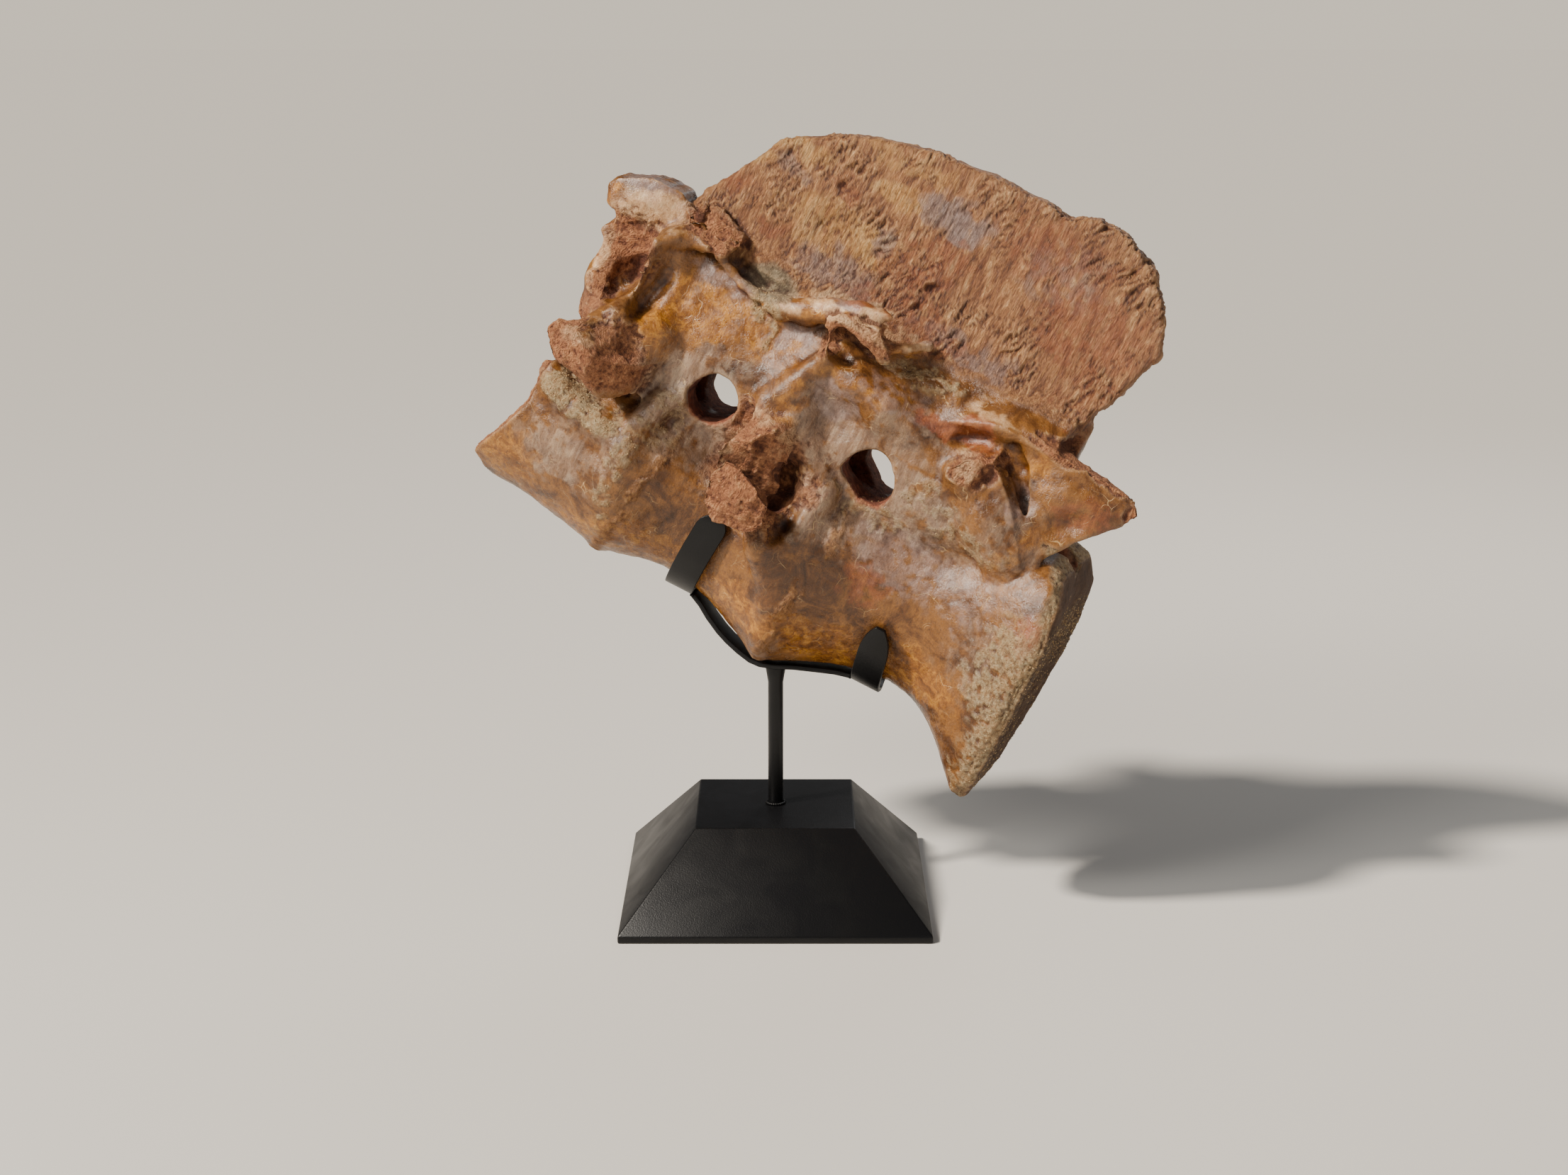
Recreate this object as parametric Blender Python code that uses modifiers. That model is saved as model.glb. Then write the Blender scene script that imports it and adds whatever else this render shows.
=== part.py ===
"""Two fused sacral vertebrae of a large meat-eating dinosaur, with a broken piece of a third,
on the steel mount that holds them up for display.

The bone is built in its own frame: x along the row of centra towards the rear, y across from the
near side (negative) to the far side, and z up through the neural spines.  Its zero is where the
two complete centra meet on the underside.  An empty places that frame over the stand, because the
bone is shown with its rear end lower and turned a little to the front.  The world's zero is the
centre of the base's underside, +Z up.  Everything is in metres.

The bone is first modelled whole.  Spools, plates, limbs and broken chunks are joined by a voxel
remesh, hollows are cut out of it, and it is then parted with thin cuts along its sutures.
"""

import math

import bmesh
import bpy
from mathutils import Euler, Vector
from mathutils.bvhtree import BVHTree

# Where the bone's frame stands over the base, and how it leans and turns.
BONE_ORIGIN = (-0.016, 0.003, 0.201)
BONE_LEAN = math.radians(25.0)
BONE_TURN = math.radians(-12.0)

# Sutures between the bones, as (x at z = 0, x at the height of the foramina).
FORAMEN_HEIGHT = 0.194
SUTURE_FRONT = (-0.167, -0.120)
SUTURE_REAR = (0.000, 0.023)
SPINE_SUTURE_FRONT = (-0.2055, -0.2055)
SPINE_SUTURE_REAR = (0.010, 0.020)
CENTRUM_TOP = 0.165
SPINE_FOOT = 0.303
SPINE_REACH = 0.030
CUT_GAP = 0.0004

# Steel stock and the base.
BASE_FOOT = 0.254
BASE_TOP = 0.131
BASE_HEIGHT = 0.0768
BASE_LIP = 0.006
BASE_EDGE = 0.0012
ROD_RADIUS = 0.00635
ROD_FLARE_RADIUS = 0.0088
ROD_FLARE_HEIGHT = 0.014
BAR_WIDTH = 0.0254
BAR_THICKNESS = 0.0042
BONE_CLEARANCE = 0.0018
STEEL_GAP = 0.0004

# Remesh sizes and the triangle budget of the whole bone.
FINE_VOXEL = 0.0030
CUTTER_VOXEL = 0.0025
BONE_TRIANGLES = 4720

NEAR, FAR = -1, 1
FAR_SCALE = 0.95

# The row of centra: x, underside, top, half width, and how far the widest level sits up.
CENTRA = [
    (-0.310, 0.044, 0.180, 0.050, 0.10), (-0.266, 0.042, 0.178, 0.051, 0.08),
    (-0.236, 0.040, 0.178, 0.054, 0.10), (-0.200, 0.034, 0.180, 0.058, 0.10),
    (-0.172, 0.029, 0.182, 0.063, 0.05), (-0.160, 0.028, 0.182, 0.064, 0.05),
    (-0.142, 0.031, 0.182, 0.060, 0.05), (-0.120, 0.036, 0.180, 0.050, 0.08),
    (-0.098, 0.038, 0.178, 0.044, 0.10), (-0.070, 0.034, 0.178, 0.046, 0.12),
    (-0.045, 0.025, 0.179, 0.053, 0.11), (-0.021, 0.013, 0.181, 0.060, 0.09),
    (-0.004, 0.006, 0.182, 0.063, 0.08), (0.007, 0.007, 0.182, 0.063, 0.08),
    (0.022, 0.013, 0.182, 0.059, 0.09), (0.044, 0.024, 0.182, 0.051, 0.10),
    (0.072, 0.034, 0.182, 0.045, 0.12), (0.104, 0.039, 0.184, 0.043, 0.15),
    (0.130, 0.035, 0.188, 0.049, 0.20), (0.152, 0.023, 0.194, 0.059, 0.24),
    (0.172, 0.006, 0.201, 0.069, 0.26), (0.190, -0.014, 0.208, 0.077, 0.26),
    (0.203, -0.026, 0.211, 0.081, 0.25), (0.250, -0.050, 0.216, 0.088, 0.24),
]
# The rear flare is squarer than an oval: how much, and over which stretch of x that comes in.
REAR_SQUARENESS = 1.1
SQUARER_FROM, SQUARER_TO = 0.110, 0.180

# The neural arches over them, in the same terms, and where they stop.
ARCHES = [
    (-0.262, 0.190, 0.262, 0.010, 0.0), (-0.248, 0.160, 0.290, 0.020, -0.2),
    (-0.226, 0.148, 0.308, 0.032, -0.2), (-0.206, 0.148, 0.318, 0.042, -0.2),
    (-0.190, 0.148, 0.326, 0.047, -0.3), (-0.168, 0.148, 0.326, 0.050, -0.3),
    (-0.135, 0.148, 0.324, 0.050, -0.3), (-0.090, 0.148, 0.322, 0.050, -0.3),
    (-0.055, 0.148, 0.330, 0.054, -0.3), (-0.030, 0.148, 0.328, 0.050, -0.3),
    (0.000, 0.148, 0.318, 0.050, -0.3), (0.030, 0.148, 0.312, 0.048, -0.3),
    (0.075, 0.148, 0.316, 0.050, -0.3), (0.115, 0.150, 0.322, 0.050, -0.3),
    (0.145, 0.160, 0.316, 0.042, -0.3), (0.166, 0.180, 0.300, 0.026, -0.2),
]
ARCH_ENDS = (-0.256, 0.162)

# The rear end face: how far back its rim is at each height, and its turn to the far side.
REAR_RIM = [(-0.030, 0.204), (0.011, 0.213), (0.081, 0.2165), (0.141, 0.216), (0.175, 0.212),
            (0.197, 0.202), (0.212, 0.186)]
END_FACE_TURN = 0.105

# The broken front end: where it stops at each height, and how it falls back to either side.
FRONT_BREAK = [(0.030, -0.256), (0.046, -0.275), (0.060, -0.2905), (0.076, -0.284), (0.098, -0.273),
               (0.125, -0.262), (0.151, -0.261), (0.165, -0.257), (0.182, -0.246)]
BREAK_FALL = 0.10
CAP_REACH = 0.020

# The plate of fused neural spines: its edge as seen from the side, as (x, z).
SPINE_OUTLINE = [
    (-0.192, 0.262), (-0.200, 0.300), (-0.203, 0.322), (-0.200, 0.335), (-0.183, 0.360),
    (-0.160, 0.399), (-0.141, 0.412), (-0.110, 0.427), (-0.078, 0.438), (-0.040, 0.444),
    (0.004, 0.448), (0.030, 0.446), (0.050, 0.447), (0.070, 0.443), (0.092, 0.454),
    (0.118, 0.451), (0.150, 0.435), (0.168, 0.413), (0.184, 0.381), (0.175, 0.356),
    (0.169, 0.337), (0.157, 0.311), (0.149, 0.295), (0.144, 0.262),
]
SPINE_HALF_THICKNESS = 0.0130
SPINE_EDGE = 0.004

# The broken spine of the front bone: a lower plate with a ragged front edge.
FRAGMENT_OUTLINE = [
    (-0.212, 0.200), (-0.232, 0.202), (-0.241, 0.218), (-0.248, 0.232), (-0.255, 0.240),
    (-0.253, 0.250), (-0.258, 0.266), (-0.262, 0.274), (-0.258, 0.288), (-0.268, 0.292),
    (-0.272, 0.308), (-0.268, 0.315), (-0.254, 0.320), (-0.240, 0.328), (-0.226, 0.330),
    (-0.213, 0.327), (-0.204, 0.321), (-0.186, 0.310), (-0.184, 0.250),
]
FRAGMENT_HALF_THICKNESS = 0.0205
FRAGMENT_EDGE = 0.004

# Crests, laminae and rims that grow from both sides: points as (x, out, z, radius).
CRESTS = [
    # Rim of the front centrum and the first suture.
    [(-0.250, 0.046, 0.157, 0.0080), (-0.236, 0.052, 0.146, 0.0070), (-0.214, 0.055, 0.138, 0.0065),
     (-0.172, 0.058, 0.132, 0.0060)],
    [(-0.161, 0.035, 0.062, 0.0060), (-0.165, 0.054, 0.102, 0.0065), (-0.164, 0.056, 0.151, 0.0065),
     (-0.141, 0.045, 0.190, 0.0055)],
    # Roots of the front lamina, then the lamina's own crest.
    [(-0.214, 0.072, 0.214, 0.0150), (-0.209, 0.066, 0.226, 0.0110), (-0.208, 0.060, 0.238, 0.0075)],
    [(-0.190, 0.052, 0.212, 0.0170), (-0.184, 0.050, 0.222, 0.0140), (-0.182, 0.042, 0.232, 0.0110)],
    [(-0.208, 0.060, 0.238, 0.0065), (-0.207, 0.061, 0.250, 0.0045), (-0.209, 0.057, 0.264, 0.0040),
     (-0.210, 0.056, 0.278, 0.0042), (-0.209, 0.053, 0.290, 0.0045), (-0.200, 0.045, 0.299, 0.0050),
     (-0.192, 0.038, 0.301, 0.0055)],
    [(-0.196, 0.038, 0.303, 0.0055), (-0.176, 0.040, 0.303, 0.0055), (-0.160, 0.043, 0.306, 0.0050)],
    [(-0.201, 0.036, 0.236, 0.0160), (-0.201, 0.036, 0.262, 0.0140), (-0.200, 0.033, 0.288, 0.0115)],
    # Wall in front of the pocket.
    [(-0.238, 0.020, 0.216, 0.0140), (-0.244, 0.022, 0.236, 0.0120), (-0.245, 0.022, 0.256, 0.0110)],
    [(-0.240, 0.032, 0.212, 0.0110), (-0.224, 0.046, 0.224, 0.0110)],
    # Ledge over the front arch and the bar that runs back from it.
    [(-0.160, 0.040, 0.300, 0.0045), (-0.136, 0.039, 0.288, 0.0040), (-0.110, 0.042, 0.285, 0.0050),
     (-0.098, 0.042, 0.286, 0.0070), (-0.080, 0.044, 0.293, 0.0075), (-0.060, 0.049, 0.303, 0.0078),
     (-0.040, 0.054, 0.312, 0.0074), (-0.026, 0.057, 0.317, 0.0062)],
    # Middle lamina and the pedicle below it.
    [(-0.050, 0.060, 0.270, 0.0055), (-0.061, 0.060, 0.242, 0.0055), (-0.066, 0.058, 0.230, 0.0090),
     (-0.074, 0.056, 0.216, 0.0130)],
    [(-0.060, 0.050, 0.244, 0.0090), (-0.075, 0.040, 0.236, 0.0120)],
    [(-0.060, 0.050, 0.230, 0.0140), (-0.050, 0.048, 0.212, 0.0160), (-0.040, 0.046, 0.198, 0.0160),
     (-0.022, 0.044, 0.182, 0.0140)],
    # Broken knob, fin and the dome's ridge.
    [(-0.051, 0.060, 0.268, 0.0058), (-0.053, 0.062, 0.282, 0.0056), (-0.056, 0.063, 0.297, 0.0056),
     (-0.040, 0.066, 0.305, 0.0064)],
    [(-0.010, 0.054, 0.297, 0.0040), (0.004, 0.042, 0.301, 0.0042), (0.017, 0.024, 0.307, 0.0045)],
    [(-0.040, 0.044, 0.262, 0.0160), (-0.018, 0.045, 0.258, 0.0155), (0.008, 0.044, 0.252, 0.0150),
     (0.034, 0.038, 0.247, 0.0140)],
    # Rough patch beside the middle stump and the ridge that runs down over the rear suture.
    [(-0.018, 0.048, 0.176, 0.0130), (-0.006, 0.050, 0.170, 0.0110)],
    [(-0.012, 0.050, 0.158, 0.0150), (-0.013, 0.052, 0.130, 0.0150), (-0.012, 0.054, 0.104, 0.0130),
     (-0.004, 0.052, 0.070, 0.0105), (0.000, 0.042, 0.036, 0.0080)],
    [(-0.040, 0.066, 0.128, 0.0140), (-0.030, 0.066, 0.110, 0.0120), (-0.016, 0.058, 0.090, 0.0110)],
    # Rear arch: upright ridge, the steps in front of it, and the shelf.
    [(0.099, 0.054, 0.257, 0.0050), (0.124, 0.062, 0.242, 0.0055), (0.146, 0.063, 0.210, 0.0055),
     (0.164, 0.062, 0.184, 0.0060)],
    [(0.106, 0.046, 0.236, 0.0150), (0.122, 0.048, 0.218, 0.0160), (0.140, 0.052, 0.200, 0.0160)],
    [(0.010, 0.028, 0.277, 0.0050), (0.056, 0.026, 0.280, 0.0055), (0.078, 0.028, 0.287, 0.0070)],
    [(0.050, 0.038, 0.272, 0.0050), (0.094, 0.044, 0.284, 0.0065), (0.116, 0.047, 0.288, 0.0070),
     (0.144, 0.047, 0.284, 0.0070)],
]

# Broken blocks of bone on both sides, as the corners (x, out, z) of their convex hulls.
CHUNKS = [
    # Front rib stump.
    [(-0.254, 0.100, 0.206), (-0.246, 0.102, 0.211), (-0.229, 0.096, 0.217), (-0.255, 0.105, 0.197),
     (-0.242, 0.108, 0.182), (-0.222, 0.107, 0.176), (-0.208, 0.109, 0.179), (-0.203, 0.110, 0.199),
     (-0.218, 0.113, 0.203), (-0.212, 0.098, 0.169), (-0.194, 0.088, 0.163), (-0.180, 0.082, 0.177),
     (-0.186, 0.092, 0.200), (-0.172, 0.070, 0.203), (-0.238, 0.045, 0.188), (-0.215, 0.040, 0.224),
     (-0.170, 0.035, 0.210), (-0.172, 0.050, 0.172), (-0.218, 0.055, 0.166)],
    # Front lamina's wall, and the rough block above its rear end.
    [(-0.2095, 0.060, 0.238), (-0.2040, 0.060, 0.238), (-0.2095, 0.062, 0.252),
     (-0.2045, 0.062, 0.252), (-0.2125, 0.056, 0.280), (-0.2070, 0.056, 0.280),
     (-0.2085, 0.046, 0.296), (-0.2015, 0.046, 0.298), (-0.2085, 0.026, 0.236),
     (-0.1985, 0.026, 0.236), (-0.2085, 0.024, 0.300), (-0.1975, 0.024, 0.302)],
    [(-0.186, 0.040, 0.304), (-0.168, 0.043, 0.305), (-0.154, 0.042, 0.308), (-0.148, 0.034, 0.315),
     (-0.152, 0.022, 0.322), (-0.176, 0.022, 0.332), (-0.198, 0.022, 0.332), (-0.194, 0.034, 0.312),
     (-0.186, 0.010, 0.332), (-0.150, 0.010, 0.318), (-0.160, 0.010, 0.300)],
    # Cap of the front bone's broken spine.
    [(-0.272, 0.017, 0.307), (-0.267, 0.022, 0.317), (-0.254, 0.024, 0.321), (-0.238, 0.022, 0.330),
     (-0.214, 0.021, 0.329), (-0.204, 0.015, 0.323), (-0.266, 0.023, 0.297), (-0.246, 0.027, 0.303),
     (-0.226, 0.026, 0.315), (-0.208, 0.021, 0.319), (-0.262, 0.008, 0.294), (-0.204, 0.008, 0.312)],
    # Broken end of the bar, and the knob under it.
    [(-0.040, 0.060, 0.315), (-0.022, 0.064, 0.323), (-0.014, 0.062, 0.323), (-0.014, 0.060, 0.317),
     (-0.030, 0.062, 0.309), (-0.026, 0.046, 0.324), (-0.018, 0.044, 0.318), (-0.036, 0.044, 0.312)],
    [(-0.046, 0.070, 0.308), (-0.030, 0.073, 0.312), (-0.018, 0.073, 0.312), (-0.010, 0.071, 0.303),
     (0.003, 0.063, 0.288), (-0.008, 0.066, 0.284), (-0.015, 0.073, 0.292), (-0.028, 0.075, 0.298),
     (-0.046, 0.070, 0.300), (-0.042, 0.045, 0.312), (-0.012, 0.042, 0.312), (0.002, 0.044, 0.290),
     (-0.020, 0.046, 0.292)],
    # Middle rib stump: the shell above and the block below.
    [(-0.079, 0.062, 0.212), (-0.052, 0.063, 0.217), (-0.082, 0.078, 0.198), (-0.094, 0.088, 0.178),
     (-0.070, 0.091, 0.191), (-0.060, 0.086, 0.204), (-0.043, 0.073, 0.202), (-0.036, 0.069, 0.185),
     (-0.034, 0.060, 0.150), (-0.080, 0.060, 0.130), (-0.092, 0.082, 0.155), (-0.080, 0.045, 0.140),
     (-0.040, 0.045, 0.150), (-0.070, 0.040, 0.220)],
    [(-0.089, 0.107, 0.150), (-0.083, 0.104, 0.130), (-0.084, 0.100, 0.173), (-0.071, 0.104, 0.174),
     (-0.063, 0.108, 0.166), (-0.057, 0.107, 0.169), (-0.041, 0.107, 0.160), (-0.031, 0.103, 0.151),
     (-0.033, 0.103, 0.128), (-0.041, 0.103, 0.122), (-0.072, 0.105, 0.120), (-0.057, 0.112, 0.146),
     (-0.084, 0.070, 0.150), (-0.042, 0.070, 0.152), (-0.060, 0.066, 0.128)],
    # Broken boss of the rear arch.
    [(0.077, 0.066, 0.233), (0.080, 0.067, 0.243), (0.099, 0.067, 0.251), (0.096, 0.067, 0.232),
     (0.068, 0.056, 0.236), (0.070, 0.035, 0.248), (0.110, 0.035, 0.252), (0.104, 0.045, 0.214),
     (0.078, 0.045, 0.222)],
]

# The rear process, a pyramid that points back; the far one is broken off shorter.
PROCESS = [
    (0.116, 0.046, 0.288), (0.144, 0.052, 0.284), (0.169, 0.050, 0.279), (0.192, 0.048, 0.277),
    (0.213, 0.047, 0.279), (0.226, 0.048, 0.273), (0.230, 0.048, 0.265), (0.208, 0.052, 0.247),
    (0.197, 0.054, 0.234), (0.182, 0.056, 0.220), (0.176, 0.057, 0.210), (0.150, 0.054, 0.204),
    (0.171, 0.060, 0.250), (0.150, 0.055, 0.258), (0.120, 0.016, 0.292), (0.212, 0.032, 0.276),
    (0.190, 0.030, 0.238), (0.165, 0.022, 0.206), (0.130, 0.020, 0.220),
]
FAR_PROCESS_END = 0.164

# Hollows on both sides: centre (x, out, z), radii, and how they swing in the side view.
FOSSAE = [
    ((-0.227, 0.050, 0.258), (0.0125, 0.0320, 0.0240), -0.30),
    ((-0.192, 0.073, 0.262), (0.0120, 0.0240, 0.0340), -0.20),
    ((-0.078, 0.062, 0.274), (0.0250, 0.0160, 0.0105), 0.42),
    ((-0.036, 0.070, 0.287), (0.0110, 0.0260, 0.0105), -0.45),
    ((-0.002, 0.050, 0.312), (0.0150, 0.0240, 0.0080), 0.20),
    ((0.008, 0.048, 0.287), (0.0150, 0.0200, 0.0080), -0.30),
    ((-0.018, 0.079, 0.226), (0.0230, 0.0290, 0.0290), -0.60),
    ((-0.052, 0.104, 0.181), (0.0240, 0.0340, 0.0125), -0.55),
    ((-0.030, 0.092, 0.164), (0.0120, 0.0260, 0.0140), -0.60),
    ((-0.021, 0.086, 0.146), (0.0100, 0.0300, 0.0300), -0.10),
    ((0.072, 0.066, 0.257), (0.0270, 0.0230, 0.0095), 0.28),
    ((0.142, 0.066, 0.264), (0.0180, 0.0140, 0.0095), -0.45),
    ((0.178, 0.082, 0.232), (0.0240, 0.0280, 0.0150), 0.60),
]

# Grooves on both sides, as limbs that are cut away: behind the ledge, and behind the ridge.
GROOVES = [
    [(-0.158, 0.028, 0.305, 0.0050), (-0.140, 0.026, 0.297, 0.0055), (-0.122, 0.028, 0.294, 0.0060),
     (-0.104, 0.030, 0.298, 0.0045)],
    [(0.108, 0.046, 0.268, 0.0065), (0.119, 0.046, 0.257, 0.0075), (0.131, 0.046, 0.240, 0.0070),
     (0.140, 0.052, 0.222, 0.0050)],
    [(0.108, 0.062, 0.268, 0.0065), (0.119, 0.062, 0.257, 0.0075), (0.131, 0.062, 0.240, 0.0070),
     (0.140, 0.068, 0.222, 0.0050)],
]

# The holes over the sutures, as outlines (x, z) and how far back the far one sits.
FORAMINA = [
    ([(-0.138, 0.191), (-0.133, 0.204), (-0.122, 0.216), (-0.109, 0.213), (-0.102, 0.205),
      (-0.100, 0.195), (-0.105, 0.183), (-0.114, 0.176), (-0.128, 0.177)], 0.0),
    ([(-0.003, 0.192), (0.002, 0.208), (0.015, 0.221), (0.030, 0.218), (0.040, 0.206),
      (0.044, 0.192), (0.038, 0.175), (0.022, 0.174), (0.009, 0.184)], 0.008),
]
FORAMEN_REACH = 0.11
CANAL = [(-0.320, 0.0, 0.186, 0.016), (-0.160, 0.0, 0.190, 0.016), (0.040, 0.0, 0.194, 0.017),
         (0.280, 0.0, 0.214, 0.017)]
END_HOLLOW = ((0.2375, 0.0, 0.100), (0.030, 0.087, 0.133))

# The bar under the bone, from the strap back to the clip, as (x, z) in the bone's middle plane.
CRADLE_PATH = [
    (-0.0708, 0.0296), (-0.0610, 0.0248), (-0.0510, 0.0180), (-0.0380, 0.0110), (-0.0280, 0.0070),
    (-0.0160, 0.0035), (-0.0040, 0.0012), (0.0050, 0.0018), (0.0170, 0.0062), (0.0310, 0.0132),
    (0.0510, 0.0212), (0.0640, 0.0262), (0.0768, 0.0296),
]

# Bent flats that hold the bone from below: x under the bone, x at their ends, the height that
# their angles are measured from, the angle of the ends from straight down, the extra drop under
# the bone, and the length over which their ends are rounded.
STRAP = (-0.0850, -0.0735, 0.105, math.radians(98), 0.0000, 0.0127)
CLIP = (0.0915, 0.0835, 0.100, math.radians(77), 0.0030, 0.0280)
END_WIDTH_SHARE = 0.30
SIDE_REACH = 0.070
BELOW_REACH = 0.110

COLOURS = {
    "centrum": (0.36, 0.20, 0.11), "arch": (0.30, 0.19, 0.13), "spine": (0.44, 0.29, 0.19),
    "rib": (0.33, 0.17, 0.12), "steel": (0.018, 0.018, 0.020),
}


def start_clean():
    """Empty the scene and make the two collections."""
    for item in list(bpy.data.objects):
        bpy.data.objects.remove(item, do_unlink=True)
    groups = []
    for name in ("fossil_vertebrae_on_mount", "cutters"):
        group = bpy.data.collections.new(name)
        bpy.context.scene.collection.children.link(group)
        groups.append(group)
    return groups


def finish(name, colour, roughness, metallic=0.0):
    """A plain material with the part's colour."""
    material = bpy.data.materials.new(name)
    material.use_nodes = True
    shader = material.node_tree.nodes["Principled BSDF"]
    shader.inputs["Base Color"].default_value = (*colour, 1.0)
    shader.inputs["Roughness"].default_value = roughness
    shader.inputs["Metallic"].default_value = metallic
    return material


def add_object(name, data, group):
    """Put a new object in a collection."""
    item = bpy.data.objects.new(name, data)
    group.objects.link(item)
    return item


def drop(item):
    bpy.data.objects.remove(item, do_unlink=True)


def evaluated(item):
    """The object's mesh as its modifiers leave it."""
    bpy.context.view_layer.update()
    graph = bpy.context.evaluated_depsgraph_get()
    return bpy.data.meshes.new_from_object(item.evaluated_get(graph))


def modifier(item, kind, **settings):
    """Add one modifier with its settings."""
    added = item.modifiers.new(kind.title(), kind)
    for key, value in settings.items():
        setattr(added, key, value)
    return added


def level(rows, place):
    """The value at a place of a table of (place, value) rows."""
    for (first, low), (second, high) in zip(rows, rows[1:]):
        if place <= second:
            return low + (high - low) * max((place - first) / (second - first), 0.0)
    return rows[-1][1]


def egg_ring(station, sides, squareness):
    """One section across the row: an oval whose widest level can sit above its middle."""
    x, low, high, half, lift = station
    middle = (low + high) / 2
    tall = (high - low) / 2
    power = 2 + squareness * level([(SQUARER_FROM, 0.0), (SQUARER_TO, 1.0)], x)
    ring = []
    for step in range(sides):
        angle = 2 * math.pi * step / sides
        rise, across = (math.copysign(abs(part) ** (2 / power), part)
                        for part in (math.sin(angle), math.cos(angle)))
        ring.append(Vector((x, half * (1 + lift * rise) * across, middle + tall * rise)))
    return ring


def past_end(point):
    """How far a point of the centra is past the rear rim or the broken front end."""
    x, y, z = point
    rear = x - level(REAR_RIM, z) - END_FACE_TURN * y
    front = level(FRONT_BREAK, z) + BREAK_FALL * abs(y) - x
    return max(rear, front)


def meeting(inner, outer):
    """Where the way from a point inside to one outside crosses an end of the centra."""
    for _ in range(24):
        middle = (inner + outer) / 2
        if past_end(middle) > 0:
            outer = middle
        else:
            inner = middle
    return inner


def trim(rings):
    """Bring the rings that run past the ends of the centra back to them, line by line."""
    middle = len(rings) // 2
    for step in range(len(rings[0])):
        for way, last in ((1, len(rings)), (-1, -1)):
            for place in range(middle + way, last, way):
                inner, outer = rings[place - way][step], rings[place][step]
                if past_end(outer) > 0:
                    rings[place][step] = meeting(inner, outer)


def cap(ring, reach):
    """Rows of points across an end: the right side, the middle and the left side."""
    quarter = len(ring) // 4
    rows = []
    for step in range(-quarter, quarter + 1):
        right, left = ring[step], ring[(2 * quarter - step) % len(ring)]
        middle = (right + left) / 2
        if reach:
            middle = meeting(middle - Vector((reach, 0, 0)), middle + Vector((reach, 0, 0)))
        rows.append((right, middle, left))
    return rows


def loft(name, stations, group, squareness=0.0, trimmed=False, sides=32):
    """A closed body through oval sections of different sizes."""
    rings = [egg_ring(station, sides, squareness) for station in stations]
    if trimmed:
        trim(rings)
    reach = CAP_REACH if trimmed else 0.0
    grids = [[ring + ring[:1] for ring in rings], cap(rings[0], -reach), cap(rings[-1], reach)]
    shape = bmesh.new()
    for grid in grids:
        rows = [[shape.verts.new(point) for point in row] for row in grid]
        for first, second in zip(rows, rows[1:]):
            for step in range(len(first) - 1):
                shape.faces.new((first[step], first[step + 1], second[step + 1], second[step]))
    bmesh.ops.remove_doubles(shape, verts=shape.verts, dist=0.00001)
    bmesh.ops.dissolve_degenerate(shape, edges=shape.edges, dist=0.00001)
    bmesh.ops.recalc_face_normals(shape, faces=shape.faces)
    mesh = bpy.data.meshes.new(name)
    shape.to_mesh(mesh)
    shape.free()
    return add_object(name, mesh, group)


def curve_to_mesh(item, group):
    """A closed mesh in place of a curve object."""
    mesh = evaluated(item)
    shape = bmesh.new()
    shape.from_mesh(mesh)
    bmesh.ops.remove_doubles(shape, verts=shape.verts, dist=0.00001)
    shape.to_mesh(mesh)
    shape.free()
    solid = add_object(item.name + "_mesh", mesh, group)
    solid.matrix_world = item.matrix_world
    drop(item)
    return solid


def limb(name, points, group, side=1):
    """A tube through points (x, out, z, radius), with a ball at each end."""
    curve = bpy.data.curves.new(name, "CURVE")
    curve.dimensions = "3D"
    curve.bevel_depth = 1.0
    curve.bevel_resolution = 3
    curve.use_fill_caps = True
    spline = curve.splines.new("POLY")
    spline.points.add(len(points) - 1)
    for point, (x, out, z, radius) in zip(spline.points, points):
        point.co = (x, side * out, z, 1.0)
        point.radius = radius
    tube = curve_to_mesh(add_object(name, curve, group), group)
    balls = []
    for x, out, z, radius in points:
        balls.append(ball(name + "_ball", (x, side * out, z), (radius, radius, radius), group))
    return [tube] + balls


def ball(name, centre, radii, group, rings=14):
    """An ellipsoid from a sphere primitive."""
    shape = bmesh.new()
    bmesh.ops.create_uvsphere(shape, u_segments=2 * rings, v_segments=rings, radius=1.0)
    bmesh.ops.scale(shape, vec=radii, verts=shape.verts)
    bmesh.ops.translate(shape, vec=centre, verts=shape.verts)
    mesh = bpy.data.meshes.new(name)
    shape.to_mesh(mesh)
    shape.free()
    return add_object(name, mesh, group)


def plate(name, outline, half_thickness, rounding, group):
    """A flat plate in the bone's middle plane from its outline (x, z)."""
    curve = bpy.data.curves.new(name, "CURVE")
    curve.dimensions = "2D"
    curve.fill_mode = "BOTH"
    curve.extrude = half_thickness - rounding
    curve.bevel_depth = rounding
    curve.bevel_resolution = 2
    spline = curve.splines.new("POLY")
    spline.points.add(len(outline) - 1)
    for point, (x, z) in zip(spline.points, outline):
        point.co = (x, z, 0.0, 1.0)
    spline.use_cyclic_u = True
    item = add_object(name, curve, group)
    item.rotation_euler = (math.radians(90), 0, 0)
    return curve_to_mesh(item, group)


def joined(name, items, group):
    """All the shapes as one mesh in one object."""
    shape = bmesh.new()
    for item in items:
        mesh = item.data.copy()
        mesh.transform(item.matrix_world)
        shape.from_mesh(mesh)
        bpy.data.meshes.remove(mesh)
        drop(item)
    mesh = bpy.data.meshes.new(name)
    shape.to_mesh(mesh)
    shape.free()
    return add_object(name, mesh, group)


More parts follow.
